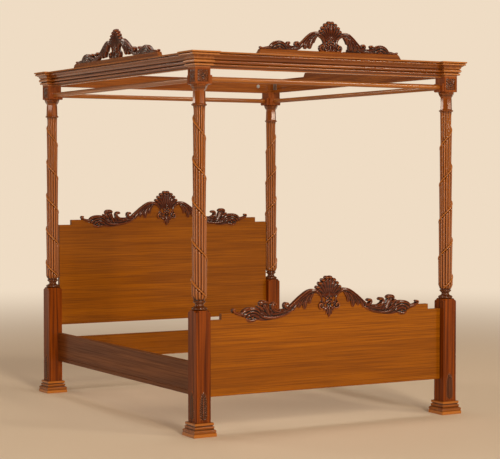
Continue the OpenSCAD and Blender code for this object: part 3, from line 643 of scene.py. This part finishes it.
# %% Strokes of a crest, right half, heights from the top of its strip
def crest_strokes(opts, draw_out):
    def s(line, widths, heights, ridges=1, tilt=0.0):
        """One plump stroke, drawn out with the crest."""
        return stroke([(draw_out(x), z) for x, z in line], [PLUMP * w for w in widths], heights,
                      ridges, tilt, **opts)

    pieces = [knob(0, 106, 64, 0.4, tall=56, **opts), knob(0, 44, 26, 0.3, tall=40, **opts),
              knob(50, 24, 20, 0.25, tall=24, **opts)]
    pieces += shell([(12, 167), (35, 155), (54, 137), (67, 117), (75, 97)], (3, 60), opts)
    pieces += [s([(200, 14), (260, 10), (320, 8), (380, 8), (420, 6)], [8, 13, 16, 16, 8], [0.3] * 5)]
    pieces += scroll(60, 21, 19, opts)
    pieces += [
        knob(0, 68, 6.5, 1.0, **opts), knob(0, 44, 8, 0.95, **opts),
        s([(3, 60), (15, 55), (25, 45)], [5, 7, 2.5], [0.9, 0.95, 0.6], 2),
        s([(3, 42), (15, 37), (24, 26)], [5, 7, 3], [0.8, 0.9, 0.6], 2),
        s([(0, 66), (0, 40), (0, 16), (0, -2)], [15, 20, 22, 20], [0.6, 0.7, 0.8, 0.8], 3),
        s([(10, 26), (26, 14), (40, 10)], [12, 12, 10], [0.7, 0.75, 0.7], 2),
        s([(6, 8), (20, 2), (34, 2)], [8, 8, 6], [0.7, 0.7, 0.6]),
        # the arch
        s([(44, 2), (40, 36), (47, 68), (66, 90), (92, 100), (122, 95), (152, 75), (182, 52),
           (208, 36), (232, 24)],
          [8, 6.5, 6.5, 9, 12, 13, 13, 11, 9, 5], [0.5, 0.6, 0.75, 0.85, 0.9, 0.9, 0.8, 0.65, 0.5, 0.4],
          2, 0.12),
        # its hanging lobes
        s([(92, 96), (109, 80), (118, 62), (117, 44)], [8, 10, 10, 7], [0.8, 0.95, 1, 0.8], 3),
        s([(110, 92), (131, 66), (142, 38), (142, 10)], [10, 14, 14, 9], [0.8, 1, 1, 0.8], 3),
        s([(138, 78), (160, 52), (172, 30), (171, 8)], [10, 13, 12, 8], [0.75, 0.9, 0.9, 0.7], 3),
        s([(174, 52), (194, 36), (206, 20)], [8, 9, 4], [0.6, 0.75, 0.45], 2),
        # the stem and its curls
        s([(186, 30), (214, 18), (248, 9), (284, 7), (314, 12)], [5, 8, 9, 9, 6],
          [0.4, 0.6, 0.7, 0.7, 0.5], 3),
        s([(204, 22), (228, 24), (241, 35), (236, 45), (226, 47), (219, 41)],
          [6, 7.5, 7, 6, 5.5, 5], [0.5, 0.65, 0.8, 0.9, 1, 1]),
        knob(draw_out(226), 44, 7.5, 1.0, **opts),
        s([(254, 12), (282, 18), (298, 30), (293, 42), (283, 43), (276, 37)],
          [6, 8.5, 8, 6.5, 5.5, 5], [0.5, 0.65, 0.8, 0.9, 1, 1]),
        knob(draw_out(284), 40, 8, 1.0, **opts),
        s([(294, 12), (308, 26), (320, 35)], [8, 7, 3], [0.6, 0.7, 0.5], 2),
        # the rolled leaf
        s([(302, 10), (322, 32), (350, 39), (380, 33), (404, 18), (420, 6)],
          [8, 9.5, 11, 11, 9, 5], [0.6, 0.8, 0.95, 1, 0.9, 0.6], 2),
        s([(310, 4), (332, 18), (356, 23), (380, 16), (396, 4)], [7, 9, 9, 9, 6],
          [0.6, 0.8, 0.9, 0.9, 0.6], 2),
        s([(332, 3), (352, 9), (372, 3)], [6, 7, 5], [0.7, 0.8, 0.6]),
        knob(draw_out(350), 8, 7, 1.0, **opts),
        # the end scroll
        s([(398, 10), (428, 8), (452, 5), (470, 5), (476, 11), (470, 14)],
          [8, 8, 7, 5.5, 5, 4.5], [0.6, 0.65, 0.7, 0.85, 1, 1], 2),
    ]
    return pieces


# %% The three crests
# The side crests are longer than the foot's. Their middle stays as it is, as far out as
# MIDDLE_PART, and the leaves beyond it are drawn out.
crests = {}
TURNS = {"foot": 0.0, "right": 90.0, "left": -90.0}
MIDDLE_PART = 130
foot_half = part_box("foot_crest")[1].x / MM
for side in ("foot", "left", "right"):
    lo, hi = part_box(side + "_crest")
    run = "x" if side == "foot" else "y"
    half = (getattr(hi, run) - getattr(lo, run)) / 2 / MM
    stretch = (half - MIDDLE_PART) / (foot_half - MIDDLE_PART)

    def draw_out(x, k=stretch):
        return x if x < MIDDLE_PART else MIDDLE_PART + (x - MIDDLE_PART) * k

    across = "y" if side == "foot" else "x"
    thick = (getattr(hi, across) - getattr(lo, across)) / MM
    relief = 0.42 * thick
    crest = fused(side + "_carved_crest",
                  crest_strokes({"deep": thick - relief - 0.5, "relief": relief}, draw_out), voxel=2.3)
    with editing(crest):                # cut level just over the strip
        bpy.ops.mesh.bisect(plane_co=(0, 0, 0.0002), plane_no=(0, 0, 1), use_fill=True, clear_inner=True)
    # painted shade, with glaze, in the crest's hollows and painted highlights on its ridges
    paint_shade_and_highlights(crest)
    middle = (lo + hi) / 2
    out = (thick / 2 - relief) * MM
    turn = math.radians(TURNS[side])
    crest.rotation_euler = (0, 0, turn)
    crest.location = (middle.x + out * math.sin(turn), middle.y - out * math.cos(turn),
                      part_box(side + "_crest_strip")[1].z)
    settle(crest)
    hand_over(crest, "bed_frame", side + "_crest")
    crests[side] = crest
    print(side, "crest", len(crest.data.polygons), "faces, top at", points_of(crest)[:, 2].max().round(4),
          "m, CAD", round(hi.z, 4))

# %% [markdown]
# ## The small carvings on the posts
# Two faces of every capital hold a sunk flower with four large and four small leaves, and
# two faces of every leg carry a long leaf with a row of beads down each edge. Both are
# made with the same strokes, once, and copied to the eight outer faces of the posts.

# %% One flower and one long leaf
BACKING = 0.6         # how far these carvings reach into the wood behind them
BEAD_STEP = 12.5      # spacing of the beads and leaflets up the long leaf


def placed_copies(name, model, places):
    """Copies of the model at each (x, y, z, degrees about z), joined into one mesh."""
    copies = []
    for x, y, z, degrees in places:
        copy = duplicate(model, name)
        copy.location = (x, y, z)
        copy.rotation_euler = (0, 0, math.radians(degrees))
        copies.append(copy)
    bpy.data.objects.remove(model)
    return join(name, copies)


def turned_line(angle, *points):
    """Points given along and across a ray, turned to the ray's angle."""
    c, s = math.cos(angle), math.sin(angle)
    return [(along * c - across * s, along * s + across * c) for along, across in points]


def flower(half, relief):
    """A rosette on a thin square ground."""
    s = partial(stroke, deep=BACKING, relief=relief)
    bpy.ops.mesh.primitive_cube_add(size=1, location=(0, 0, 0),
                                    scale=(2 * half * MM, 1.2 * MM, 2 * half * MM))
    pieces = [settle(bpy.context.active_object)]
    for k in range(4):
        # a large leaf with two side lobes, and a small one between it and the next
        slant = math.pi / 4 + k * math.pi / 2
        pieces += [
            s(turned_line(slant, (3, 0), (15, 1), (28, 0), (41, -2)), [4, 9, 10, 4], [0.7, 1, 0.9, 0.7], 3),
            s(turned_line(slant, (12, 7), (20, 13), (30, 13)), [4, 5, 3], [0.7, 0.8, 0.7]),
            s(turned_line(slant, (12, -7), (20, -13), (30, -13)), [4, 5, 3], [0.7, 0.8, 0.7]),
            s(turned_line(slant + math.pi / 4, (4, 0), (15, 0), (27, 0)), [3, 6, 3], [0.6, 0.8, 0.6], 2),
        ]
    pieces.append(knob(0, 0, 7, 1.0, deep=BACKING, relief=relief))
    return fused("flower", pieces, voxel=1.4, mirrored=False, passes=1)


def long_leaf(height, widest, relief):
    """An upright leaf with a round top, leaflets off its midrib and beads down its edges."""
    s = partial(stroke, deep=BACKING, relief=relief)

    def edge(z):
        """The leaf's half width at this height: it narrows a little, then rounds over."""
        part = z / height
        return widest * (0.97 - 0.1 * part) * math.sqrt(1 - max(0, part - 0.72) ** 2 * 12.5)

    pieces = [s([(0, 0), (0, 0.5 * height), (0, height - 2)], [widest, 0.9 * widest, 0.62 * widest],
                [0.3, 0.3, 0.3]),
              s([(0, 2), (0, 0.5 * height), (0, 0.9 * height)], [4, 3.5, 2.5], [0.8, 0.9, 0.7])]
    for z in np.arange(6, 0.84 * height, BEAD_STEP):
        w = edge(z + 8)
        pieces += [s([(1, z), (0.4 * w, z + 5), (0.74 * w, z + 14)], [2.5, 5, 2.5], [0.8, 0.9, 0.6], 2),
                   knob(edge(z) - 3.4, z, 3.4, 0.95, deep=BACKING, relief=relief)]
    pieces.append(s([(0, 0.8 * height), (0, 0.9 * height), (0, height)], [5, 8, 3], [0.9, 1, 0.6], 3))
    return fused("long_leaf", pieces, voxel=1.5, passes=1)


# %% The flowers in their recesses, the leaves on the legs
leaf_lo, leaf_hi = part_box("leg_leaf_carvings")
leg_lo, leg_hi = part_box("foot_left_leg")
capital_lo, capital_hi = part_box("foot_left_capital")
half_leg = (leg_hi.x - leg_lo.x) / 2
proud_leaf = leg_lo.x - leaf_lo.x
SUNK = 0.005                                   # depth of the capitals' recesses
flower_places, leaf_places = [], []
for corner in columns:
    x, y = post_at(corner)
    for out in ((math.copysign(1, x), 0), (0, math.copysign(1, y))):
        degrees = 90 + math.degrees(math.atan2(out[1], out[0]))
        ground = half_leg - SUNK + BACKING * MM
        flower_places.append((x + out[0] * ground, y + out[1] * ground, (capital_lo.z + capital_hi.z) / 2,
                              degrees))
        leaf_places.append((x + out[0] * half_leg, y + out[1] * half_leg, leaf_lo.z, degrees))
small_models = (
    ("capital_flowers", flower(34.5, SUNK / MM - 1.0), flower_places, "capital_carvings"),
    ("leg_long_leaves", long_leaf((leaf_hi.z - leaf_lo.z) / MM, 27, proud_leaf / MM), leaf_places,
     "leg_leaf_carvings"),
)
small_carvings = []
for name, model, places, node in small_models:
    # painted shade, with glaze, in the hollows and painted highlights on the ridges
    paint_shade_and_highlights(model, darkest=(22, 66), ridge_highlight=(55, 92))
    piece = placed_copies(name, model, places)
    hand_over(piece, "bed_frame", node)
    small_carvings.append(piece)
    print(name, len(piece.data.polygons), "faces in", len(places), "copies")

# %% [markdown]
# ## Cornice and plinths
# A joiner runs mouldings with a cutter whose edge has the profile's shape. Here the profile
# is a ring of points, extruded along the board, with finer curves than the CAD model's, so
# that the lamps draw clean lines on the rolls. The corner blocks and the plinths have the
# moulding on four sides: those are square rings, extruded upwards like the turned parts.
# The boards' seats are then cut from the corner blocks with the Boolean modifier.

# %% Profiles, as (distance from the axis, height)
def arc(x, z, r, start, end, steps):
    """Points on a circle round (x, z), between two angles in degrees."""
    return [(x + r * math.cos(a), z + r * math.sin(a))
            for a in np.radians(np.linspace(start, end, steps + 1))]


def cornice_profile(w):
    """The moulding over a block of half width w, from the bottom up: two rolls, a cove, a
    small roll and a lip."""
    return [(w, 0), (w + 1, 7), *arc(w + 7, 14.5, 7, -80, 80, 12), (w + 6.5, 23),
            *arc(w + 10, 34, 9.5, -80, 80, 14), (w + 11, 45), (w + 17, 48),
            *arc(w + 33, 48.5, 16, 180, 110, 8), (w + 29, 66), *arc(w + 33, 72.5, 6, -90, 70, 12),
            (w + 38, 80), (w + 44, 82), (w + 43.9, 89.2), (w + 43, 90)]


def plinth_profile(w, h):
    """A square foot of half width w and height h: base, big roll, small roll and cap."""
    return [(w - 1.5, 0), (w, 2), (w, 18), (w - 1, 19.5), (w - 3.5, 22), *arc(w - 12, 30, 11, -40, 85, 12),
            (w - 12, 44.5), *arc(w - 17, 52, 7.5, -50, 90, 12), (w - 17, 62.5), (w - 13, h - 14),
            (w - 12, h - 12), (w - 12, h - 3), (w - 12.6, h - 1), (w - 14, h)]


# %% Straight boards
post_x, post_y = post_at("head_right")
# each side's turn in degrees, and the middle of its line of posts
SIDES = {"right": (0, (post_x, 0)), "left": (180, (-post_x, 0)),
         "head": (90, (0, post_y)), "foot": (-90, (0, -post_y))}
HALF_POST, SETBACK = 47, 35    # the boards' faces stand this far behind the corners'
RUN_BACK, RUN_DROP = 8, 5      # from the post line back to a board's inner face; how far it hangs
WIDEST_STEP = 20               # no face of the moulding is taller
cornice_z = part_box("foot_left_cornice_corner")[0].z
cornice_h = (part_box("foot_left_cornice_corner")[1].z - cornice_z) / MM


def run_of_moulding(name, half_length, over=0):
    """A board along Y with its moulding towards +X, over the post line. A cutter runs over it
    on the plain sides, so that no two faces lie in one plane."""
    w = HALF_POST - SETBACK
    profile = [(-RUN_BACK - over, cornice_h + over), (-RUN_BACK - over, -RUN_DROP), (w, -RUN_DROP),
               *cornice_profile(w)]
    if over:
        profile.append((profile[-1][0], cornice_h + over))
    bpy.ops.object.select_all(action="DESELECT")
    bpy.ops.mesh.primitive_circle_add(vertices=len(profile), fill_type="NGON")
    board = named(name)
    set_points(board, np.array([(x, -half_length, z) for x, z in profile]) * MM)
    with editing(board):
        bpy.ops.mesh.extrude_region_move(TRANSFORM_OT_translate={"value": (0, 2 * half_length * MM, 0)})
    return board


def finish_moulding(piece, node):
    """Settles the piece in its place, smooths it and paints shade and highlights into it."""
    with editing(settle(piece)):
        pass                            # only to turn mirrored faces outwards
    bpy.ops.object.shade_smooth_by_angle(angle=math.radians(30))
    # glaze and painted shade in the grooves, painted highlights on the rolls
    paint_shade_and_highlights(piece, darkest=(4, 34))
    # the painted shade and highlights are only on the moulding, not on the tall flat faces behind it nor on
    # top
    paint = piece.data.color_attributes["hollows"].data
    for face in piece.data.polygons:
        heights = [piece.data.vertices[v].co.z for v in face.vertices]
        if max(heights) - min(heights) > WIDEST_STEP * MM or abs(face.normal.z) > 0.99:
            for corner in face.loop_indices:
                paint[corner].color = (1, 0, 0, 1)
    hand_over(piece, "bed_frame", node)
    return piece


mouldings = {}
for side, (degrees, line) in SIDES.items():
    lo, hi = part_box(side + "_cornice")
    board = run_of_moulding(side + "_moulded_cornice", max(hi.x - lo.x, hi.y - lo.y) / 2 / MM)
    board.rotation_euler = (0, 0, math.radians(degrees))
    board.location = (*line, cornice_z)
    mouldings[board.name] = finish_moulding(board, side + "_cornice")

# %% Corner blocks and plinths
block = turned("corner_block", [(r * math.sqrt(2), z) for r, z in cornice_profile(HALF_POST)], 4,
               turn=math.radians(45))
REACH, OVER = 200, 9           # half length of the seat cutters, and what they run over
inner = HALF_POST + 60         # side of the inside cutter, a little more than the moulding's
middle = -(RUN_BACK + inner / 2) * MM
bpy.ops.mesh.primitive_cube_add(size=1, location=(middle, middle, cornice_h / 2 * MM),
                                scale=(inner * MM, inner * MM, 2 * cornice_h * MM))
cutters = [named("inside_cutter"), run_of_moulding("seat_cutter_y", REACH, OVER),
           run_of_moulding("seat_cutter_x", REACH, OVER)]
cutters[1].location = (0, -(HALF_POST + REACH) * MM, 0)
cutters[2].rotation_euler = (0, 0, math.radians(90))
cutters[2].location = (-(HALF_POST + REACH) * MM, 0, 0)
for cutter in cutters:
    cut = block.modifiers.new("cut", "BOOLEAN")
    cut.object, cut.operation, cut.solver = cutter, "DIFFERENCE", "EXACT"
apply_modifiers(block)
for cutter in cutters:
    bpy.data.objects.remove(cutter)
plinth_lo, plinth_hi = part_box("foot_left_plinth")
plinth = turned("plinth", [(r * math.sqrt(2), z) for r, z in plinth_profile(
    (plinth_hi.x - plinth_lo.x) / 2 / MM, plinth_hi.z / MM)], 4, turn=math.radians(45))
for corner in columns:
    x, y = post_at(corner)
    copy = duplicate(block, corner + "_moulded_corner")
    copy.scale = (math.copysign(1, x), math.copysign(1, y), 1)
    copy.location = (x, y, cornice_z)
    mouldings[copy.name] = finish_moulding(copy, corner + "_cornice_corner")
    copy = duplicate(plinth, corner + "_moulded_plinth")
    copy.location = (x, y, 0)
    mouldings[copy.name] = finish_moulding(copy, corner + "_plinth")
bpy.data.objects.remove(block)
bpy.data.objects.remove(plinth)
print(len(mouldings), "mouldings,", sum(len(piece.data.polygons) for piece in mouldings.values()), "faces")

# %% [markdown]
# ## Mahogany, stained and lacquered
# All of the bed is stained mahogany under satin lacquer. Sawn along the grain, it shows
# long streaks a few millimetres wide, broader lighter and darker bands, and short dark
# pores. Each of these is a noise pattern that is stretched along the grain, so one recipe
# serves every part: only the grain's direction, the stain and the streaks' size change.
# The lacquer is a clear coat over the wood. Where a piece is carved or moulded, glaze and painted shade
# darken its hollows and painted highlights lighten its ridges, as marked on its points.
# Real pores are 0.2 mm wide, too fine to show here, so they are drawn four times as wide.

# %% The recipe
AXES = {"x": (1, 0, 0), "y": (0, 1, 0), "z": (0, 0, 1)}


def grain_scale(axis, wide_mm, long_mm):
    """Mapping scale for a pattern this wide and this long, in millimetres."""
    return [1000 / long_mm if on else 1000 / wide_mm for on in AXES[axis]]


def stained_wood(name, axis, light, middle, dark, streak_mm=5.0, band_mm=60.0, streaks=0.55,
                 roughness=0.4, coat=0.15, hollow_shade=None, ridge_highlight=None, plank_mm=0.0, shine=0.15):
    """light and middle are the bands' tones and dark is that of streaks and pores. streaks is
    how strong they are, coat how thick the lacquer lies, and shine the bare wood's gloss.
    The two colours given for a painted piece are those of the glaze and painted shade in its hollows and of
    the painted highlights on its ridges."""
    made, tree, wood = new_material(name)
    place = add_node(tree, "ShaderNodeTexCoord").outputs["Object"]

    def pattern(wide_mm, long_mm, detail, rough, lift, low, high):
        """A stretched noise, cut to the range that shows, from 0 to 1."""
        spot = add_node(tree, "ShaderNodeMapping", {
            "Vector": place, "Location": (lift, lift * 0.7, lift * 0.4),
            "Scale": grain_scale(axis, wide_mm, long_mm)}).outputs["Vector"]
        noise = add_node(tree, "ShaderNodeTexNoise", {
            "Vector": spot, "Scale": 1.0, "Detail": detail, "Roughness": rough, "Distortion": 0.15})
        return add_node(tree, "ShaderNodeMapRange", {
            "Value": noise.outputs["Fac"], "From Min": low, "From Max": high},
            interpolation_type="SMOOTHSTEP").outputs["Result"]

    def blend(amount, one, other):
        """Colour one, turning into the other by this amount."""
        return add_node(tree, "ShaderNodeMix", {0: amount, 6: one, 7: other}, data_type="RGBA").outputs[2]

    def times(value, factor):
        return add_node(tree, "ShaderNodeMath", {0: value, 1: factor},
                        operation="MULTIPLY").outputs["Value"]

    bands = pattern(band_mm, band_mm * 25, 2.0, 0.5, 3.1, 0.3, 0.7)
    lines = pattern(streak_mm, streak_mm * 90, 2.0, 0.55, 7.7, 0.42, 0.66)
    fine = pattern(streak_mm * 0.4, streak_mm * 30, 2.0, 0.6, 1.3, 0.48, 0.74)
    pores = pattern(0.8, 18.0, 1.0, 0.5, 5.9, 0.62, 0.74)
    tone = blend(bands, colour(middle), colour(light))
    tone = blend(times(lines, streaks), tone, colour(dark))
    tone = blend(times(fine, streaks * 0.5), tone, colour(dark))
    if plank_mm:
        # glued planks: each takes the stain a little differently
        split = add_node(tree, "ShaderNodeSeparateXYZ", {"Vector": place}).outputs["Z"]
        plank = add_node(tree, "ShaderNodeMath", {0: times(split, 1000 / plank_mm)}, operation="FLOOR")
        shade = add_node(tree, "ShaderNodeTexWhiteNoise", {"W": plank.outputs["Value"]},
                         noise_dimensions="1D").outputs["Value"]
        tone = blend(times(shade, 0.22), tone, colour(dark))
    tone = blend(times(pores, 0.35), tone, colour(dark))
    if hollow_shade:
        # glaze and painted shade darken the hollows; painted highlights lighten the ridges
        painted = add_node(tree, "ShaderNodeVertexColor", layer_name="hollows").outputs["Color"]
        shade_and_highlight = add_node(tree, "ShaderNodeSeparateColor", {"Color": painted})
        tone = blend(times(shade_and_highlight.outputs["Blue"], 0.7), tone, colour(ridge_highlight))
        depth = add_node(tree, "ShaderNodeMapRange", {"Value": shade_and_highlight.outputs["Red"]},
                         interpolation_type="SMOOTHSTEP").outputs["Result"]
        tone = blend(depth, colour(hollow_shade), tone)
    tree.links.new(tone, wood.inputs["Base Color"])
    gloss = add_node(tree, "ShaderNodeMapRange", {"Value": lines, "To Min": roughness - 0.04,
                                                 "To Max": roughness + 0.08}).outputs["Result"]
    tree.links.new(gloss, wood.inputs["Roughness"])
    wood.inputs["Specular IOR Level"].default_value = shine
    wood.inputs["Coat Weight"].default_value = coat
    wood.inputs["Coat Roughness"].default_value = 0.14
    # streaks and pores lie a tenth of a millimetre under the surface
    relief = add_node(tree, "ShaderNodeMath", {0: times(lines, 0.35), 1: pores}, operation="ADD")
    bump = add_node(tree, "ShaderNodeBump", {"Height": relief.outputs["Value"], "Strength": 0.5,
                                            "Distance": 0.00012}, invert=True)
    tree.links.new(bump.outputs["Normal"], wood.inputs["Normal"])
    return made


# %% Stains, from the golden boards to the dark carvings
WOODS = {
    # wide boards of glued planks, stained golden and lacquered satin
    "boards": stained_wood("mahogany_boards_golden_stain", "x", "#a66004", "#925100", "#653200",
                           streak_mm=5, band_mm=45, streaks=0.6, plank_mm=118),
    # side rails, planed and stained a darker brown
    "rails": stained_wood("mahogany_rails_brown_stain", "y", "#7f471a", "#693710", "#421d05",
                          streak_mm=5, band_mm=50),
    # legs, planed, with a strong upright figure under thin lacquer
    "legs": stained_wood("mahogany_legs_amber_stain", "z", "#934608", "#753303", "#3c1300",
                         streak_mm=8, band_mm=28, streaks=0.85, coat=0.25, shine=0.08),
    # plinths, moulded on four sides, with glaze and painted shade in the grooves and painted highlights on
    # the rolls, lacquered glossy
    "plinths": stained_wood("mahogany_plinths_golden_stain", "x", "#aa6318", "#8f4c0c", "#5c2a03",
                            streak_mm=9, band_mm=40, streaks=0.5, coat=1.0, hollow_shade="#3a1402",
                            ridge_highlight="#bf7526", shine=0.1),
    # columns, turned and carved, with dark painted shade between the reeds and painted highlights on their
    # crowns
    "columns": stained_wood("mahogany_turned_columns", "z", "#9e5518", "#84420c", "#4e1c02",
                            streak_mm=5, band_mm=30, streaks=0.5, coat=1.0, hollow_shade="#260b02",
                            ridge_highlight="#be7634", shine=0.1),
    # capitals, square blocks stained a little redder
    "capitals": stained_wood("mahogany_capitals_red_stain", "z", "#a0561e", "#853f10", "#4b1a03",
                             streak_mm=4, band_mm=24, coat=0.6),
}
for axis, way in (("x", "across"), ("y", "along")):
    # cornice wood, planed and lacquered glossy
    cornice = {"light": "#a05c20", "middle": "#85430f", "dark": "#4a1d02", "streak_mm": 4.5,
               "band_mm": 24, "streaks": 0.6, "coat": 1.0}
    WOODS["cornice_" + axis] = stained_wood("mahogany_cornice_" + way, axis, **cornice)
    # the same wood run to a moulding: glaze and painted shade in the grooves, painted highlights on the
    # rolls
    WOODS["mouldings_" + axis] = stained_wood("mahogany_mouldings_" + way, axis, **cornice,
                                              hollow_shade="#2c0f03", ridge_highlight="#c98444", shine=0.1)
    # curtain poles, turned round and lacquered
    WOODS["poles_" + axis] = stained_wood("mahogany_poles_" + way, axis, "#b46e26", "#985518", "#66320b",
                                          streak_mm=4, band_mm=20, coat=0.8)
# carvings, cut by hand, stained dark, with glaze and painted shade nearly black in the hollows and painted
# highlights on the ridges; those on the posts are a little lighter
DARK, LIGHTER = ("#6a2e12", "#52200b", "#300d02"), ("#7a3c14", "#602a0a", "#371203")
for axis, name, tones in (("x", "mahogany_carvings_dark_stain", DARK),
                          ("y", "mahogany_side_carvings_dark_stain", DARK),
                          ("z", "mahogany_post_carvings_dark_stain", LIGHTER)):
    WOODS["carved_" + axis] = stained_wood(name, axis, *tones, streak_mm=4, band_mm=24, coat=0.6,
                                           roughness=0.32, hollow_shade="#120401", ridge_highlight="#b0642e", shine=0.08)


# %% [markdown]
# ## Hidden wood and metal
# What the bed hides isn't stained: ledgers and dowels are sawn beech with a dull, dry
# surface. Bolts and studs are zinc-plated steel, a little mottled by the bath; the canopy's
# corner plates are galvanised sheet with faint crystals, and the ledgers' screws are
# yellow-zinc plated. The metals keep their natural strength of reflection.

# %% Beech, zinc and galvanised sheet
def sawn_wood(name, axis, light, dark):
    """Bare wood as the saw left it."""
    made, tree, wood = new_material(name)
    place = add_node(tree, "ShaderNodeTexCoord").outputs["Object"]
    spot = add_node(tree, "ShaderNodeMapping", {"Vector": place, "Scale": grain_scale(axis, 3.0, 90.0)})
    grain = add_node(tree, "ShaderNodeTexNoise", {"Vector": spot.outputs["Vector"], "Scale": 1.0,
                                                 "Detail": 3.0}).outputs["Fac"]
    tone = add_node(tree, "ShaderNodeValToRGB", {"Fac": grain})
    tone.color_ramp.elements[0].color, tone.color_ramp.elements[1].color = colour(dark), colour(light)
    tone.color_ramp.elements[0].position, tone.color_ramp.elements[1].position = 0.35, 0.65
    tree.links.new(tone.outputs["Color"], wood.inputs["Base Color"])
    wood.inputs["Roughness"].default_value = 0.72
    bump = add_node(tree, "ShaderNodeBump", {"Height": grain, "Strength": 0.6, "Distance": 0.0002})
    tree.links.new(bump.outputs["Normal"], wood.inputs["Normal"])
    return made


def plated_metal(name, bright, dull, mottle_mm, roughness):
    """Steel under a thin coat of zinc, mottled in spots of this size."""
    made, tree, metal = new_material(name)
    metal.inputs["Metallic"].default_value = 1.0
    place = add_node(tree, "ShaderNodeTexCoord").outputs["Object"]
    cells = add_node(tree, "ShaderNodeTexVoronoi", {"Vector": place, "Scale": 1000 / mottle_mm})
    shade = add_node(tree, "ShaderNodeSeparateColor", {"Color": cells.outputs["Color"]}).outputs["Red"]
    tone = add_node(tree, "ShaderNodeValToRGB", {"Fac": shade})
    tone.color_ramp.elements[0].color, tone.color_ramp.elements[1].color = colour(dull), colour(bright)
    tree.links.new(tone.outputs["Color"], metal.inputs["Base Color"])
    gloss = add_node(tree, "ShaderNodeMapRange", {"Value": shade, "To Min": roughness,
                                                 "To Max": roughness + 0.12}).outputs["Result"]
    tree.links.new(gloss, metal.inputs["Roughness"])
    return made


# ledgers and dowels, rough sawn and left unstained
for axis, way in (("x", "across"), ("y", "along"), ("z", "upright")):
    WOODS["sawn_" + axis] = sawn_wood("sawn_beech_" + way, axis, "#c9a377", "#a97f55")
METALS = {
    # bolts and studs, electroplated; plates, hot dipped; screws, plated and yellow passivated
    "zinc": plated_metal("zinc_plated_steel", "#c6c9cb", "#a9adb1", 3.0, 0.3),
    "sheet": plated_metal("galvanised_sheet_steel", "#b9bdbf", "#979da1", 9.0, 0.38),
    "yellow_zinc": plated_metal("yellow_zinc_plated_steel", "#d3b06a", "#ab8240", 2.0, 0.32),
}


# %% Dressing every piece and every node
def dress(piece, wood):
    piece.data.materials.clear()
    piece.data.materials.append(wood)


for piece in (*board_carvings.values(), crests["foot"]):
    dress(piece, WOODS["carved_x"])
for piece in (crests["left"], crests["right"]):
    dress(piece, WOODS["carved_y"])
for piece in small_carvings:
    dress(piece, WOODS["carved_z"])
for piece in columns.values():
    dress(piece, WOODS["columns"])
for name, piece in mouldings.items():
    across = name in ("foot_moulded_cornice", "head_moulded_cornice")
    dress(piece, WOODS["plinths" if name.endswith("_plinth") else
                       "mouldings_x" if across else "mouldings_y"])

DRESSED = {
    "rail_studs": METALS["zinc"], "rail_nuts": METALS["zinc"], "rail_washers": METALS["zinc"],
    "column_studs": METALS["zinc"], "cornice_bolts": METALS["zinc"], "cornice_plates": METALS["sheet"],
    "ledger_screws": METALS["yellow_zinc"], "rail_dowels": WOODS["sawn_y"],
    "cornice_dowels": WOODS["sawn_x"], "crest_dowels": WOODS["sawn_z"], "canopy_dowels": WOODS["sawn_z"],
    "left_ledger": WOODS["sawn_y"], "right_ledger": WOODS["sawn_y"],
    "pole_sockets": WOODS["capitals"], "head_lower_rail": WOODS["boards"],
    "foot_cornice": WOODS["cornice_x"], "head_cornice": WOODS["cornice_x"],
    "foot_crest_strip": WOODS["cornice_x"], "foot_curtain_pole": WOODS["poles_x"],
    "head_curtain_pole": WOODS["poles_x"],
}
# node names that end alike are dressed alike
ENDINGS = {
    "_plinth": WOODS["legs"], "_leg": WOODS["legs"], "_capital": WOODS["capitals"],
    "_cornice": WOODS["cornice_y"], "_cornice_corner": WOODS["cornice_y"],
    "_crest_strip": WOODS["cornice_y"], "_curtain_pole": WOODS["poles_y"],
    "_side_rail": WOODS["rails"], "_panel": WOODS["boards"], "_column": WOODS["legs"],
    "_crest": WOODS["capitals"], "_carving": WOODS["capitals"], "_carvings": WOODS["capitals"],
}
undressed = []
for name, node in nodes.items():
    wood = DRESSED.get(name) or next((w for end, w in ENDINGS.items() if name.endswith(end)), None)
    if wood:
        dress(node, wood)
    else:
        undressed.append(name)
print("dressed", len(nodes) - len(undressed), "nodes; left bare:", undressed)
